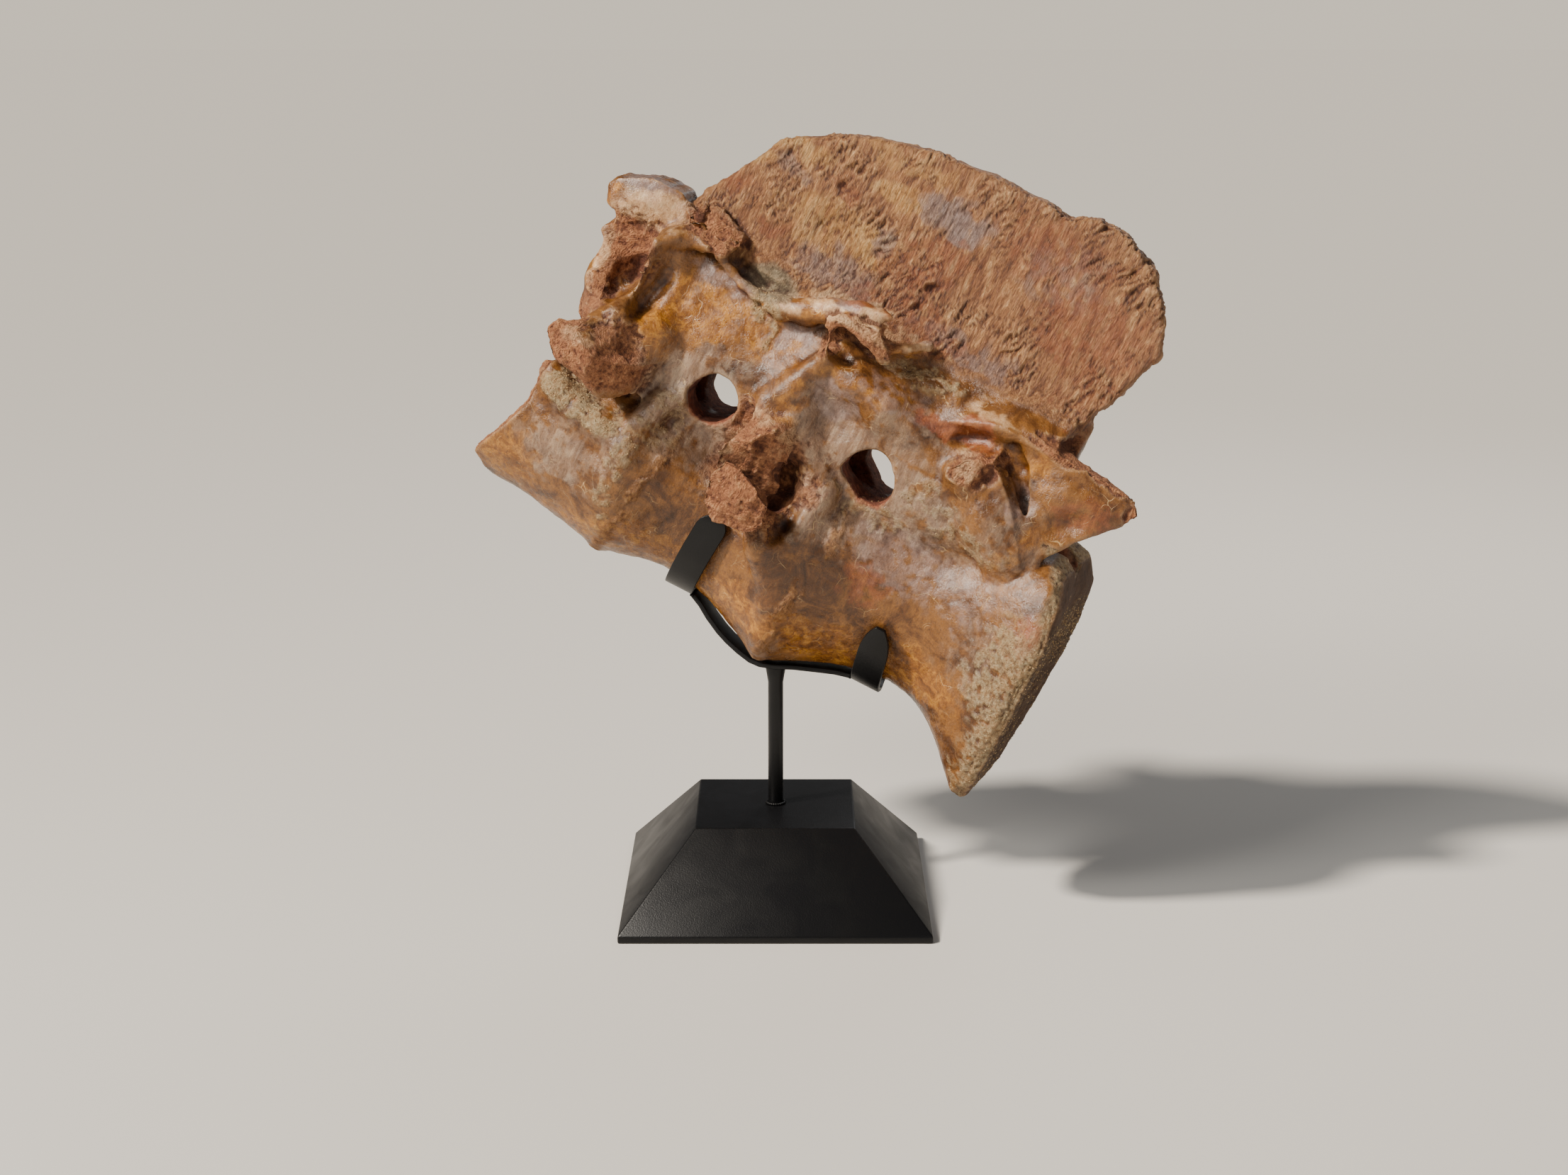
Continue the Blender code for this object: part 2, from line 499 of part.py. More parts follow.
def chunk(name, corners, group, side=1):
    """A broken block: the convex hull of corners (x, out, z)."""
    shape = bmesh.new()
    for x, out, z in corners:
        shape.verts.new((x, side * out, z))
    bmesh.ops.convex_hull(shape, input=shape.verts)
    bmesh.ops.recalc_face_normals(shape, faces=shape.faces)
    mesh = bpy.data.meshes.new(name)
    shape.to_mesh(mesh)
    shape.free()
    return add_object(name, mesh, group)


def scaled(row, side):
    """Points of one side: the far side is a little narrower."""
    size = 1.0 if side == NEAR else FAR_SCALE
    return [(point[0], point[1] * size) + tuple(point[2:]) for point in row]


def solid_bone(group):
    """The forms of the bone, remeshed into one skin."""
    centra = loft("centra", CENTRA, group, REAR_SQUARENESS, trimmed=True)
    arches = loft("arches", ARCHES, group)
    for vertex in arches.data.vertices:
        vertex.co.x = min(max(vertex.co.x, ARCH_ENDS[0]), ARCH_ENDS[1])
    items = [centra, arches]
    items.append(plate("spines", SPINE_OUTLINE, SPINE_HALF_THICKNESS, SPINE_EDGE, group))
    items.append(plate("fragment", FRAGMENT_OUTLINE, FRAGMENT_HALF_THICKNESS, FRAGMENT_EDGE, group))
    far_process = [(min(x, FAR_PROCESS_END), out, z) for x, out, z in PROCESS]
    for side, process in ((NEAR, PROCESS), (FAR, far_process)):
        for points in CRESTS:
            items += limb("crest", scaled(points, side), group, side)
        for corners in CHUNKS + [process]:
            items.append(chunk("chunk", scaled(corners, side), group, side))
    bone = joined("whole_bone", items, group)
    modifier(bone, "REMESH", mode="VOXEL", voxel_size=FINE_VOXEL)
    return bone


def hollows(group):
    """One cutter for the canal, the foramina, the fossae, the grooves and the hollow end face."""
    items = limb("canal", CANAL, group)
    for outline, shift in FORAMINA:
        for side, moved in ((NEAR, 0.0), (FAR, shift)):
            hole = plate("foramen", [(x + moved, z) for x, z in outline], FORAMEN_REACH, 0.0, group)
            hole.location.y = side * (FORAMEN_REACH - CANAL[0][3] / 2)
            items.append(hole)
    for side in (NEAR, FAR):
        for centre, radii, turn in FOSSAE:
            (x, out, z), = scaled([centre], side)
            hollow = ball("fossa", (0.0, 0.0, 0.0), radii, group)
            hollow.location = (x, side * out, z)
            hollow.rotation_euler = (0.0, -turn, 0.0)
            items.append(hollow)
        for points in GROOVES:
            items += limb("groove", scaled(points, side), group, side)
    centre, radii = END_HOLLOW
    items.append(ball("end_hollow", centre, radii, group))
    bpy.context.view_layer.update()
    cutter = joined("hollows", items, group)
    modifier(cutter, "REMESH", mode="VOXEL", voxel_size=CUTTER_VOXEL)
    cutter.data = evaluated(cutter)
    cutter.modifiers.clear()
    cutter.hide_render = True
    cutter.display_type = "WIRE"
    return cutter


def carve(bone, cutter):
    """Take the hollows out, then soften and thin the mesh."""
    bone.data = evaluated(bone)
    bone.modifiers.clear()
    modifier(bone, "BOOLEAN", operation="DIFFERENCE", object=cutter)
    bone.data = evaluated(bone)
    bone.modifiers.clear()
    modifier(bone, "REMESH", mode="VOXEL", voxel_size=FINE_VOXEL)
    modifier(bone, "SMOOTH", factor=0.5, iterations=3)
    bone.data = evaluated(bone)
    bone.modifiers.clear()
    count = sum(len(face.vertices) - 2 for face in bone.data.polygons)
    modifier(bone, "DECIMATE", ratio=BONE_TRIANGLES / count, use_collapse_triangulate=True)
    bone.data = evaluated(bone)
    bone.modifiers.clear()
    print("whole bone:", count, "triangles, thinned to", len(bone.data.polygons))


def suture_x(suture, z):
    """Where a leaning suture crosses a given height."""
    low, high = suture
    return low + (high - low) * z / FORAMEN_HEIGHT


def cell(name, corners, group):
    """A closed block between two levels: corners are ((x0, x1) at z0, (x0, x1) at z1, y0, y1)."""
    (x_low, x_high, z_low), (x_low_top, x_high_top, z_top), (y_low, y_high) = corners
    shape = bmesh.new()
    bmesh.ops.create_cube(shape, size=1.0)
    for vertex in shape.verts:
        top = vertex.co.z > 0
        left = x_low_top if top else x_low
        right = x_high_top if top else x_high
        vertex.co.x = right if vertex.co.x > 0 else left
        vertex.co.y = y_high if vertex.co.y > 0 else y_low
        vertex.co.z = z_top if top else z_low
    mesh = bpy.data.meshes.new(name)
    shape.to_mesh(mesh)
    shape.free()
    item = add_object(name, mesh, group)
    item.hide_render = True
    item.display_type = "WIRE"
    return item


def largest_body(item):
    """Keep the biggest connected piece and drop crumbs that a cut left."""
    shape = bmesh.new()
    shape.from_mesh(item.data)
    bmesh.ops.remove_doubles(shape, verts=shape.verts, dist=0.000002)
    bodies = []
    unseen = set(shape.verts)
    while unseen:
        stack = [unseen.pop()]
        body = set(stack)
        while stack:
            for edge in stack.pop().link_edges:
                for vertex in edge.verts:
                    if vertex in unseen:
                        unseen.remove(vertex)
                        body.add(vertex)
                        stack.append(vertex)
        bodies.append(body)
    bodies.sort(key=len, reverse=True)
    crumbs = [vertex for body in bodies[1:] for vertex in body]
    bmesh.ops.delete(shape, geom=crumbs, context="VERTS")
    shape.to_mesh(item.data)
    shape.free()
    return [len(body) for body in bodies]


def part_of(name, source, cutter, operation, group):
    """A copy of the source, cut by a cell."""
    item = add_object(name, source.data.copy(), group)
    modifier(item, "BOOLEAN", operation=operation, object=cutter)
    item.data = evaluated(item)
    item.modifiers.clear()
    return item


FAR_OUT = 0.40


def sloped(first, second, z_low, z_top):
    """The x limits of a cell between two sutures at its two levels."""
    half = CUT_GAP / 2
    limits = []
    for z in (z_low, z_top):
        left = -FAR_OUT if first is None else suture_x(first, z) + half
        right = FAR_OUT if second is None else suture_x(second, z) - half
        limits.append((left, right, z))
    return limits


SIDE_CELLS = {
    "rib_stump_front": ((-0.258, -0.163, 0.160), (-0.258, -0.163, 0.2395), 0.056),
    "rib_stump_middle": ((-0.110, -0.018, 0.110), (-0.110, -0.018, 0.222), 0.059),
    "zygapophysis": ((0.1520, 0.300, 0.2140), (0.1520, 0.300, 0.300), 0.020),
}


def side_parts(bone, group, cutter_group):
    """Cut the rib stumps and the rear processes from both sides; return parts and the rest."""
    parts = []
    rest = bone
    for label, (low, top, inner) in SIDE_CELLS.items():
        for side, word in ((NEAR, "near"), (FAR, "far")):
            out = inner * (1.0 if side == NEAR else FAR_SCALE)
            span = sorted((side * out, side * FAR_OUT))
            block = cell("cell", (low, top, span), cutter_group)
            part = part_of(label + "_" + word, bone, block, "INTERSECT", group)
            grown = cell("cell", (
                (low[0] - CUT_GAP, low[1] + CUT_GAP, low[2] - CUT_GAP),
                (top[0] - CUT_GAP, top[1] + CUT_GAP, top[2] + CUT_GAP),
                (sorted((side * (out - CUT_GAP), side * FAR_OUT))),
            ), cutter_group)
            smaller = part_of("rest", rest, grown, "DIFFERENCE", cutter_group)
            if rest is not bone:
                drop(rest)
            rest = smaller
            drop(block)
            drop(grown)
            parts.append(part)
    return parts, rest


def row_parts(rest, group, cutter_group):
    """Cut what is left into centra, arches and spines along the sutures.

    A spine is only as wide as its blade: what stands beside its foot belongs to the arch.
    """
    half = CUT_GAP / 2
    top = 2 * FAR_OUT
    columns = [("fragment", None, SUTURE_FRONT, None, SPINE_SUTURE_FRONT),
               ("front", SUTURE_FRONT, SUTURE_REAR, SPINE_SUTURE_FRONT, SPINE_SUTURE_REAR),
               ("rear", SUTURE_REAR, None, SPINE_SUTURE_REAR, None)]
    levels = [("centrum", -FAR_OUT, CENTRUM_TOP - half, FAR_OUT),
              ("neural_arch", CENTRUM_TOP + half, top, FAR_OUT),
              ("neural_spine", SPINE_FOOT + half, top, SPINE_REACH - half)]
    reach = SPINE_REACH + half
    blades = cell("cell", ((-FAR_OUT, FAR_OUT, SPINE_FOOT - half), (-FAR_OUT, FAR_OUT, top + FAR_OUT),
                           (-reach, reach)), cutter_group)
    parts = []
    for label, z_low, z_top, across in levels:
        for column, first, second, spine_first, spine_second in columns:
            if label == "neural_spine":
                first, second = spine_first, spine_second
            low, high = sloped(first, second, z_low, z_top)
            block = cell("cell", (low, high, (-across, across)), cutter_group)
            part = part_of(label + "_" + column, rest, block, "INTERSECT", group)
            if label == "neural_arch":
                modifier(part, "BOOLEAN", operation="DIFFERENCE", object=blades)
                part.data = evaluated(part)
                part.modifiers.clear()
            parts.append(part)
            drop(block)
    drop(blades)
    return parts


def bone_surface(parts):
    """A tree that finds the bone's surface in its own frame."""
    shape = bmesh.new()
    for part in parts:
        shape.from_mesh(part.data)
    tree = BVHTree.FromBMesh(shape)
    shape.free()
    return tree


def outline_radius(tree, x, height, angle):
    """How far the bone reaches from a point of its middle plane, at an angle from straight down."""
    outward = Vector((0.0, math.sin(angle), -math.cos(angle)))
    centre = Vector((x, 0.0, height))
    start = SIDE_REACH + (BELOW_REACH - SIDE_REACH) * max(math.cos(angle), 0.0)
    hit = tree.ray_cast(centre + outward * start, -outward)[0]
    return 0.0 if hit is None else (hit - centre).length


def hugging_line(tree, bend, steps=22):
    """Points of a bent flat's middle line, a little off the bone all the way round."""
    x_low, x_end, height, angle_end, drop, _ = bend
    radii = []
    for step in range(-steps, steps + 1):
        share = abs(step) / steps
        x = x_low + (x_end - x_low) * share
        across = [x + BAR_WIDTH * part / 8 for part in range(-5, 6)]
        radii.append(max(outline_radius(tree, place, height, angle_end * step / steps)
                         for place in across))
    reach = range(len(radii))
    raised = [max(radii[max(i - 1, 0):i + 2]) for i in reach]
    eased = [sum(raised[max(i - 1, 0):i + 2]) / len(raised[max(i - 1, 0):i + 2]) for i in reach]
    points = []
    for step, radius in zip(range(-steps, steps + 1), eased):
        share = abs(step) / steps
        angle = angle_end * step / steps
        off = radius + BONE_CLEARANCE + BAR_THICKNESS / 2 + drop * max(math.cos(angle), 0.0) ** 2
        x = x_low + (x_end - x_low) * share
        points.append(Vector((x, off * math.sin(angle), height - off * math.cos(angle))))
    return points


def flat_bar(name, points, widths, thickness, group):
    """A flat bar along points: an open strip of the given widths along x, made thick."""
    shape = bmesh.new()
    rows = []
    for point, width in zip(points, widths):
        half = Vector((width / 2, 0.0, 0.0))
        rows.append((shape.verts.new(point - half), shape.verts.new(point + half)))
    for first, second in zip(rows, rows[1:]):
        shape.faces.new((first[0], first[1], second[1], second[0]))
    mesh = bpy.data.meshes.new(name)
    shape.to_mesh(mesh)
    shape.free()
    bar = add_object(name, mesh, group)
    modifier(bar, "SOLIDIFY", thickness=thickness, offset=0.0, use_even_offset=True)
    bar.data = evaluated(bar)
    bar.modifiers.clear()
    return bar


def bent_flat(name, tree, bend, group):
    """A flat bent round the bone from below, with rounded ends."""
    points = hugging_line(tree, bend)
    lengths = [0.0]
    for first, second in zip(points, points[1:]):
        lengths.append(lengths[-1] + (second - first).length)
    rounding = bend[-1]
    widths = []
    for length in lengths:
        to_end = min(length, lengths[-1] - length, rounding)
        inside = 1 - to_end / rounding
        widths.append(BAR_WIDTH * max(math.sqrt(1 - inside ** 2), END_WIDTH_SHARE))
    return flat_bar(name, points, widths, BAR_THICKNESS, group)


def cradle_bar(group):
    """The bar between the two bent flats: its flat side faces the bone."""
    shape = bmesh.new()
    rows = []
    for x, z in CRADLE_PATH:
        rows.append([shape.verts.new((x, side * BAR_WIDTH / 2, z)) for side in (NEAR, FAR)])
    for first, second in zip(rows, rows[1:]):
        shape.faces.new((first[0], second[0], second[1], first[1]))
    mesh = bpy.data.meshes.new("stand_cradle")
    shape.to_mesh(mesh)
    shape.free()
    bar = add_object("stand_cradle", mesh, group)
    modifier(bar, "SOLIDIFY", thickness=BAR_THICKNESS, offset=0.0, use_even_offset=True)
    return bar


def base_block(group):
    """The base: a low lip, then four sides that slope in to a square top."""
    shape = bmesh.new()
    bmesh.ops.create_cube(shape, size=1.0)
    bmesh.ops.scale(shape, vec=(BASE_FOOT, BASE_FOOT, BASE_LIP), verts=shape.verts)
    bmesh.ops.translate(shape, vec=(0.0, 0.0, BASE_LIP / 2), verts=shape.verts)
    top = [face for face in shape.faces if face.normal.z > 0.9]
    raised = bmesh.ops.extrude_discrete_faces(shape, faces=top)["faces"][0]
    for vertex in raised.verts:
        vertex.co.x *= BASE_TOP / BASE_FOOT
        vertex.co.y *= BASE_TOP / BASE_FOOT
        vertex.co.z = BASE_HEIGHT
    mesh = bpy.data.meshes.new("stand_base")
    shape.to_mesh(mesh)
    shape.free()
    base = add_object("stand_base", mesh, group)
    modifier(base, "BEVEL", width=BASE_EDGE, segments=2, limit_method="ANGLE",
             angle_limit=math.radians(20))
    return base


def rod(cradle, frame, group):
    """The upright rod, flared where it is welded to the bar's underside."""
    mesh = evaluated(cradle)
    shape = bmesh.new()
    shape.from_mesh(mesh)
    shape.transform(frame.matrix_world)
    tree = BVHTree.FromBMesh(shape)
    shape.free()
    foot = BASE_HEIGHT + STEEL_GAP
    shape = bmesh.new()
    made = bmesh.ops.create_cone(shape, cap_ends=True, segments=24, radius1=ROD_RADIUS,
                                 radius2=ROD_RADIUS, depth=1.0)
    upper = [vertex for vertex in made["verts"] if vertex.co.z > 0]
    under = min(tree.ray_cast(Vector((v.co.x, v.co.y, foot)), Vector((0, 0, 1)))[0].z
                for v in upper)
    for vertex in made["verts"]:
        vertex.co.z = under - ROD_FLARE_HEIGHT if vertex.co.z > 0 else foot
    cap = next(face for face in shape.faces if face.normal.z > 0.9)
    raised = bmesh.ops.extrude_discrete_faces(shape, faces=[cap])["faces"][0]
    for vertex in raised.verts:
        vertex.co.x *= ROD_FLARE_RADIUS / ROD_RADIUS
        vertex.co.y *= ROD_FLARE_RADIUS / ROD_RADIUS
        hit = tree.ray_cast(Vector((vertex.co.x, vertex.co.y, foot)), Vector((0, 0, 1)))[0]
        vertex.co.z = hit.z - STEEL_GAP
    mesh = bpy.data.meshes.new("stand_rod")
    shape.to_mesh(mesh)
    shape.free()
    return add_object("stand_rod", mesh, group)


def build_stand(parts, frame, steel, group):
    """The base, the rod, the bar under the bone and the two bent flats."""
    tree = bone_surface(parts)
    strap = bent_flat("stand_strap", tree, STRAP, group)
    clip = bent_flat("stand_clip", tree, CLIP, group)
    cradle = cradle_bar(group)
    for item in (strap, clip, cradle):
        item.parent = frame
    bpy.context.view_layer.update()
    upright = rod(cradle, frame, group)
    for item in (strap, clip, cradle, upright, base_block(group)):
        item.data.materials.append(steel)


def main():
    group, cutter_group = start_clean()
    frame = add_object("bone_frame", None, group)
    frame.location = BONE_ORIGIN
    frame.rotation_euler = Euler((0.0, BONE_LEAN, BONE_TURN), "XYZ")

    bone = solid_bone(cutter_group)
    carve(bone, hollows(cutter_group))
    parts, rest = side_parts(bone, group, cutter_group)
    parts += row_parts(rest, group, cutter_group)
    for item in list(cutter_group.all_objects):
        drop(item)

    tints = {"centrum": "centrum", "neural_arch": "arch", "neural_spine": "spine",
             "rib": "rib", "zygapophysis": "arch"}
    finishes = {key: finish("bone_" + key, colour, 0.55) for key, colour in COLOURS.items()}
    for part in parts:
        bodies = largest_body(part)
        print(part.name, "triangles", len(part.data.polygons), "bodies", bodies[:4])
        key = next(tint for start, tint in tints.items() if part.name.startswith(start))
        part.data.materials.clear()
        part.data.materials.append(finishes[key])
        part.parent = frame
    build_stand(parts, frame, finishes["steel"], group)


main()
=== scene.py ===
# %% [markdown]
# # Two fused dinosaur vertebrae on their museum stand
#
# The object is a fossil: two sacral vertebrae of a large meat-eating dinosaur that grew together
# in life, with a broken piece of a third at the front.  A steel stand painted black holds it.
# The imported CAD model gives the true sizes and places.  This lesson makes the surfaces that the
# eye sees: a bone skin with its breaks, pores and fibres, and steel with its paint.
#
# All lengths are metres.  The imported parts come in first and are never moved.

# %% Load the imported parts
import math

import bmesh
import bpy
import numpy as np
from mathutils import Euler, Matrix, Vector
from mathutils.bvhtree import BVHTree


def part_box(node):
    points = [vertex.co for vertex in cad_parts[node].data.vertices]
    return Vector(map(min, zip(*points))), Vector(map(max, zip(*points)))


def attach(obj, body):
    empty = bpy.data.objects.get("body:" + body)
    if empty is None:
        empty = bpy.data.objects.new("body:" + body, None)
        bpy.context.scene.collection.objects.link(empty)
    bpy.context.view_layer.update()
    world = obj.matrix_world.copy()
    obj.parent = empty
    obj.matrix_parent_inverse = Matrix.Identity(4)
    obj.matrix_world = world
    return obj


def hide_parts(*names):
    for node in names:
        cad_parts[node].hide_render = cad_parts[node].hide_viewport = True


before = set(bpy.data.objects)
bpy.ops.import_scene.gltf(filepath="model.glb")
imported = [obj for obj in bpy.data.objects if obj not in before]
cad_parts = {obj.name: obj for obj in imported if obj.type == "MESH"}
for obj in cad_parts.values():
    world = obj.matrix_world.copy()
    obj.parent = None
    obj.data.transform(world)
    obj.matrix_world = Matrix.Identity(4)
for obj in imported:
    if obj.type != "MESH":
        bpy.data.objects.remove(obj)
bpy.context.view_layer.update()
DOUBLES = 0.00001


def placed(name, data):
    """An object at the origin, in the scene."""
    item = bpy.data.objects.new(name, data)
    bpy.context.scene.collection.objects.link(item)
    return item


def packed_shape(name):
    """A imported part's faces, with its doubled corners merged."""
    shape = bmesh.new()
    shape.from_mesh(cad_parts[name].data)
    bmesh.ops.remove_doubles(shape, verts=shape.verts, dist=DOUBLES)
    return shape


# %% [markdown]
# ## The bone's own frame
#
# The bone leans and turns on its rod, so its shape is easier to say in a frame of its own: x runs
# along the row of centra to the rear, y goes across from the near side to the far side, and z
# goes up through the spines.  Zero is on the underside, where the two whole centra meet.  Points
# on a side are given as (x, out, z), where out is the distance from the middle plane.

# %% The bone's frame
BONE_ORIGIN = (-0.016, 0.003, 0.201)
BONE_LEAN = math.radians(25.0)
BONE_TURN = math.radians(-12.0)
bone_frame = Matrix.Translation(BONE_ORIGIN) @ Euler((0.0, BONE_LEAN, BONE_TURN)).to_matrix().to_4x4()
BONE_AXES = np.array(bone_frame.to_3x3())
NEAR, FAR = -1, 1
FAR_SCALE = 0.95


def to_world(points):
    """Points of the bone's frame in the world."""
    return points @ BONE_AXES.T + np.array(BONE_ORIGIN)


print("the row of bones runs along", [round(float(part), 3) for part in BONE_AXES[:, 0]])

# %% [markdown]
# ## Noise made with numpy
#
# Bone is never smooth at every scale.  Gradient noise gives soft lumps of a chosen size, and a few
# layers of it at shrinking sizes give natural roughness.  Working on arrays of points keeps it
# fast.  Every call has a fixed seed, so each run gives the same bone.

# %% Gradient noise
def scramble(cells, salt):
    """Three whole numbers from 0 to 1023 for each cell of a lattice, the same in every run."""
    code = cells[:, 0] * 73856093 ^ cells[:, 1] * 19349663 ^ cells[:, 2] * 83492791 ^ salt
    code = (code ^ code >> 13) * 1274126177 & 0xFFFFFFFF
    code = code ^ code >> 16
    return np.stack([code & 1023, code >> 10 & 1023, code >> 20 & 1023], 1)


def lattice_noise(points, seed):
    """Soft noise from about -1 to 1 at points measured in lumps."""
    cell = np.floor(points).astype(np.int64)
    part = points - cell
    ease = part * part * part * (part * (part * 6 - 15) + 10)
    total = np.zeros(len(points))
    for corner in range(8):
        step = np.array([corner & 1, corner >> 1 & 1, corner >> 2 & 1])
        slope = scramble(cell + step, seed * 2654435761) / 511.5 - 1
        weight = np.prod(np.where(step, ease, 1 - ease), axis=1)
        total += weight * np.sum(slope * (part - step), axis=1)
    return total * 1.5


def layered_noise(points, size, layers, seed):
    """Noise with lumps of a size in metres, then halves of it."""
    total = np.zeros(len(points))
    for layer in range(layers):
        total += lattice_noise(points * (2 ** layer / size), seed + layer) * 0.5 ** layer
    return total


def step_up(values, low, high):
    """Ease from 0 to 1 as values pass from low to high."""
    share = np.clip((values - low) / (high - low), 0.0, 1.0)
    return share * share * (3 - 2 * share)


tried = layered_noise(np.random.default_rng(1).random((1000, 3)), 0.1, 3, 1)
print("noise runs from %.2f to %.2f" % (tried.min(), tried.max()))

# %% [markdown]
# ## A block of clay
#
# The bone has no flat faces, thin crests next to deep hollows, and holes right through it.  It
# could be pushed out of a mesh by hand, but such forms are simpler as clay: a grid where each cell
# holds its distance from the surface, minus inside.  Adding and cutting are then a minimum and a
# maximum, and a soft one leaves the rounded joints that grown bone has.

# %% Clay on a grid
PITCH = 0.0015
CLAY_LOW = np.array([-0.306, -0.126, -0.046])
CLAY_HIGH = np.array([0.256, 0.126, 0.476])
axes = [np.arange(low, high, PITCH) for low, high in zip(CLAY_LOW, CLAY_HIGH)]
clay = np.full([len(axis) for axis in axes], 0.05, np.float32)
ALL_X, ALL_Y, ALL_Z = axes[0][:, None, None], axes[1][None, :, None], axes[2][None, None, :]
print("clay cells:", clay.size)


def patch(low, high):
    """The part of the grid inside a box, as slices and as coordinates."""
    cuts = []
    for axis, first, last in zip(axes, low, high):
        cuts.append(slice(*np.searchsorted(axis, (first, last))))
    x, y, z = (axis[cut] for axis, cut in zip(axes, cuts))
    return tuple(cuts), x[:, None, None], y[None, :, None], z[None, None, :]


def soft_min(first, second, blend):
    """The smaller of two distances, rounded where they cross."""
    near = np.maximum(blend - np.abs(first - second), 0.0) / blend
    return np.minimum(first, second) - near * near * blend / 4


def add(distance, cuts, blend):
    clay[cuts] = soft_min(clay[cuts], distance, blend)


def cut_away(distance, cuts, blend):
    clay[cuts] = -soft_min(-clay[cuts], distance, blend)


def tell(what):
    """Print how much clay there is so far."""
    print(what + ":", round(float((clay < 0).sum()) * (1000 * PITCH) ** 3 / 1000), "millilitres of clay")


# %% [markdown]
# ## Simple forms
#
# Four forms do most of the work.  A limb is a row of balls with their sizes blended between them:
# it makes crests and rims.  An ovoid, stretched and turned, makes hollows.  A slab, cut to an
# outline, makes plates.  A chunk has flat faces like those that bone breaks along.

# %% Limbs
def limb_distance(x, y, z, start, end):
    """Distance from a tapered rod with round ends: start and end are (x, y, z, radius)."""
    a, b = np.array(start[:3]), np.array(end[:3])
    along = b - a
    share = ((x - a[0]) * along[0] + (y - a[1]) * along[1] + (z - a[2]) * along[2]) / (along @ along)
    share = np.clip(share, 0.0, 1.0)
    gap = np.sqrt((x - a[0] - share * along[0]) ** 2 + (y - a[1] - share * along[1]) ** 2
                  + (z - a[2] - share * along[2]) ** 2)
    return gap - (start[3] + share * (end[3] - start[3]))


def limb(points, blend, sides=(NEAR, FAR), change=add):
    """A row of rods through points (x, out, z, radius), on the sides asked for."""
    for side in sides:
        size = 1.0 if side == NEAR else FAR_SCALE
        row = [(x, side * out * size, z, radius) for x, out, z, radius in points]
        for start, end in zip(row, row[1:]):
            reach = max(start[3], end[3]) + blend
            low = np.minimum(start[:3], end[:3]) - reach
            high = np.maximum(start[:3], end[:3]) + reach
            cuts, x, y, z = patch(low, high)
            change(limb_distance(x, y, z, start, end), cuts, blend)


# %% Ovoids
def ovoid(centre, radii, blend, turn=0.0, lean=0.0, sides=(NEAR, FAR), change=None):
    """A stretched ball; turn swings it in the side view, lean swings its outer end up."""
    for side in sides:
        size = 1.0 if side == NEAR else FAR_SCALE
        cx, cy, cz = centre[0], side * centre[1] * size, centre[2]
        reach = max(radii) + blend
        cuts, x, y, z = patch((cx - reach, cy - reach, cz - reach), (cx + reach, cy + reach, cz + reach))
        dx, dy, dz = x - cx, side * (y - cy), z - cz
        along = dx * math.cos(turn) + dz * math.sin(turn)
        up = dz * math.cos(turn) - dx * math.sin(turn)
        out = dy * math.cos(lean) + up * math.sin(lean)
        up = up * math.cos(lean) - dy * math.sin(lean)
        level = (along / radii[0]) ** 2 + (out / radii[1]) ** 2 + (up / radii[2]) ** 2
        slope = 2 * np.sqrt((along / radii[0] ** 2) ** 2 + (out / radii[1] ** 2) ** 2
                            + (up / radii[2] ** 2) ** 2) + 1e-6
        (change or cut_away)((level - 1) / slope, cuts, blend)


# %% Slabs cut to an outline
def outline_distance(outline, x, z):
    """Distance from a closed outline of (x, z) points, minus inside."""
    nearest = np.full(np.broadcast(x, z).shape, 9.0)
    inside = np.zeros(nearest.shape, bool)
    for (ax, az), (bx, bz) in zip(outline, outline[1:] + outline[:1]):
        ex, ez = bx - ax, bz - az
        share = np.clip(((x - ax) * ex + (z - az) * ez) / (ex * ex + ez * ez), 0.0, 1.0)
        nearest = np.minimum(nearest, np.hypot(x - ax - share * ex, z - az - share * ez))
        crosses = (az <= z) != (bz <= z)
        inside ^= crosses & (x < ax + (z - az) * ex / (ez if ez else 1e-9))
    return np.where(inside, -nearest, nearest)


def eased(outline, times=2):
    """A closed outline with its corners cut off again and again, until it is a curve."""
    for _ in range(times):
        following = outline[1:] + outline[:1]
        outline = [(a[0] + (b[0] - a[0]) * share, a[1] + (b[1] - a[1]) * share)
                   for a, b in zip(outline, following) for share in (0.25, 0.75)]
    return outline


def slab(outline, middle, half, rounding, blend, ragged=0.0, seed=1, change=add):
    """A plate cut to an outline: middle and half are numbers or functions of (x, z)."""
    points = np.array(outline)
    low, high = points.min(0) - 0.02, points.max(0) + 0.02
    cuts, x, y, z = patch((low[0], CLAY_LOW[1], low[1]), (high[0], CLAY_HIGH[1], high[1]))
    flat_x, flat_z = np.broadcast_arrays(x[:, 0], z[0])
    spots = np.stack([flat_x.ravel(), np.zeros(flat_x.size), flat_z.ravel()], 1)
    shake = [layered_noise(spots, 0.012, 3, seed + 9 * k).reshape(flat_x.shape) for k in (0, 1)]
    edge = outline_distance(outline, flat_x + ragged * shake[0], flat_z + ragged * shake[1])
    depth = [value(flat_x, flat_z) if callable(value) else value for value in (middle, half)]
    centre, thick = (np.broadcast_to(value, flat_x.shape)[:, None, :] for value in depth)
    side = np.abs(y - centre) - thick + rounding
    edge = edge[:, None, :] + rounding
    outer = np.sqrt(np.maximum(side, 0) ** 2 + np.maximum(edge, 0) ** 2)
    change(outer + np.minimum(np.maximum(side, edge), 0) - rounding, cuts, blend)


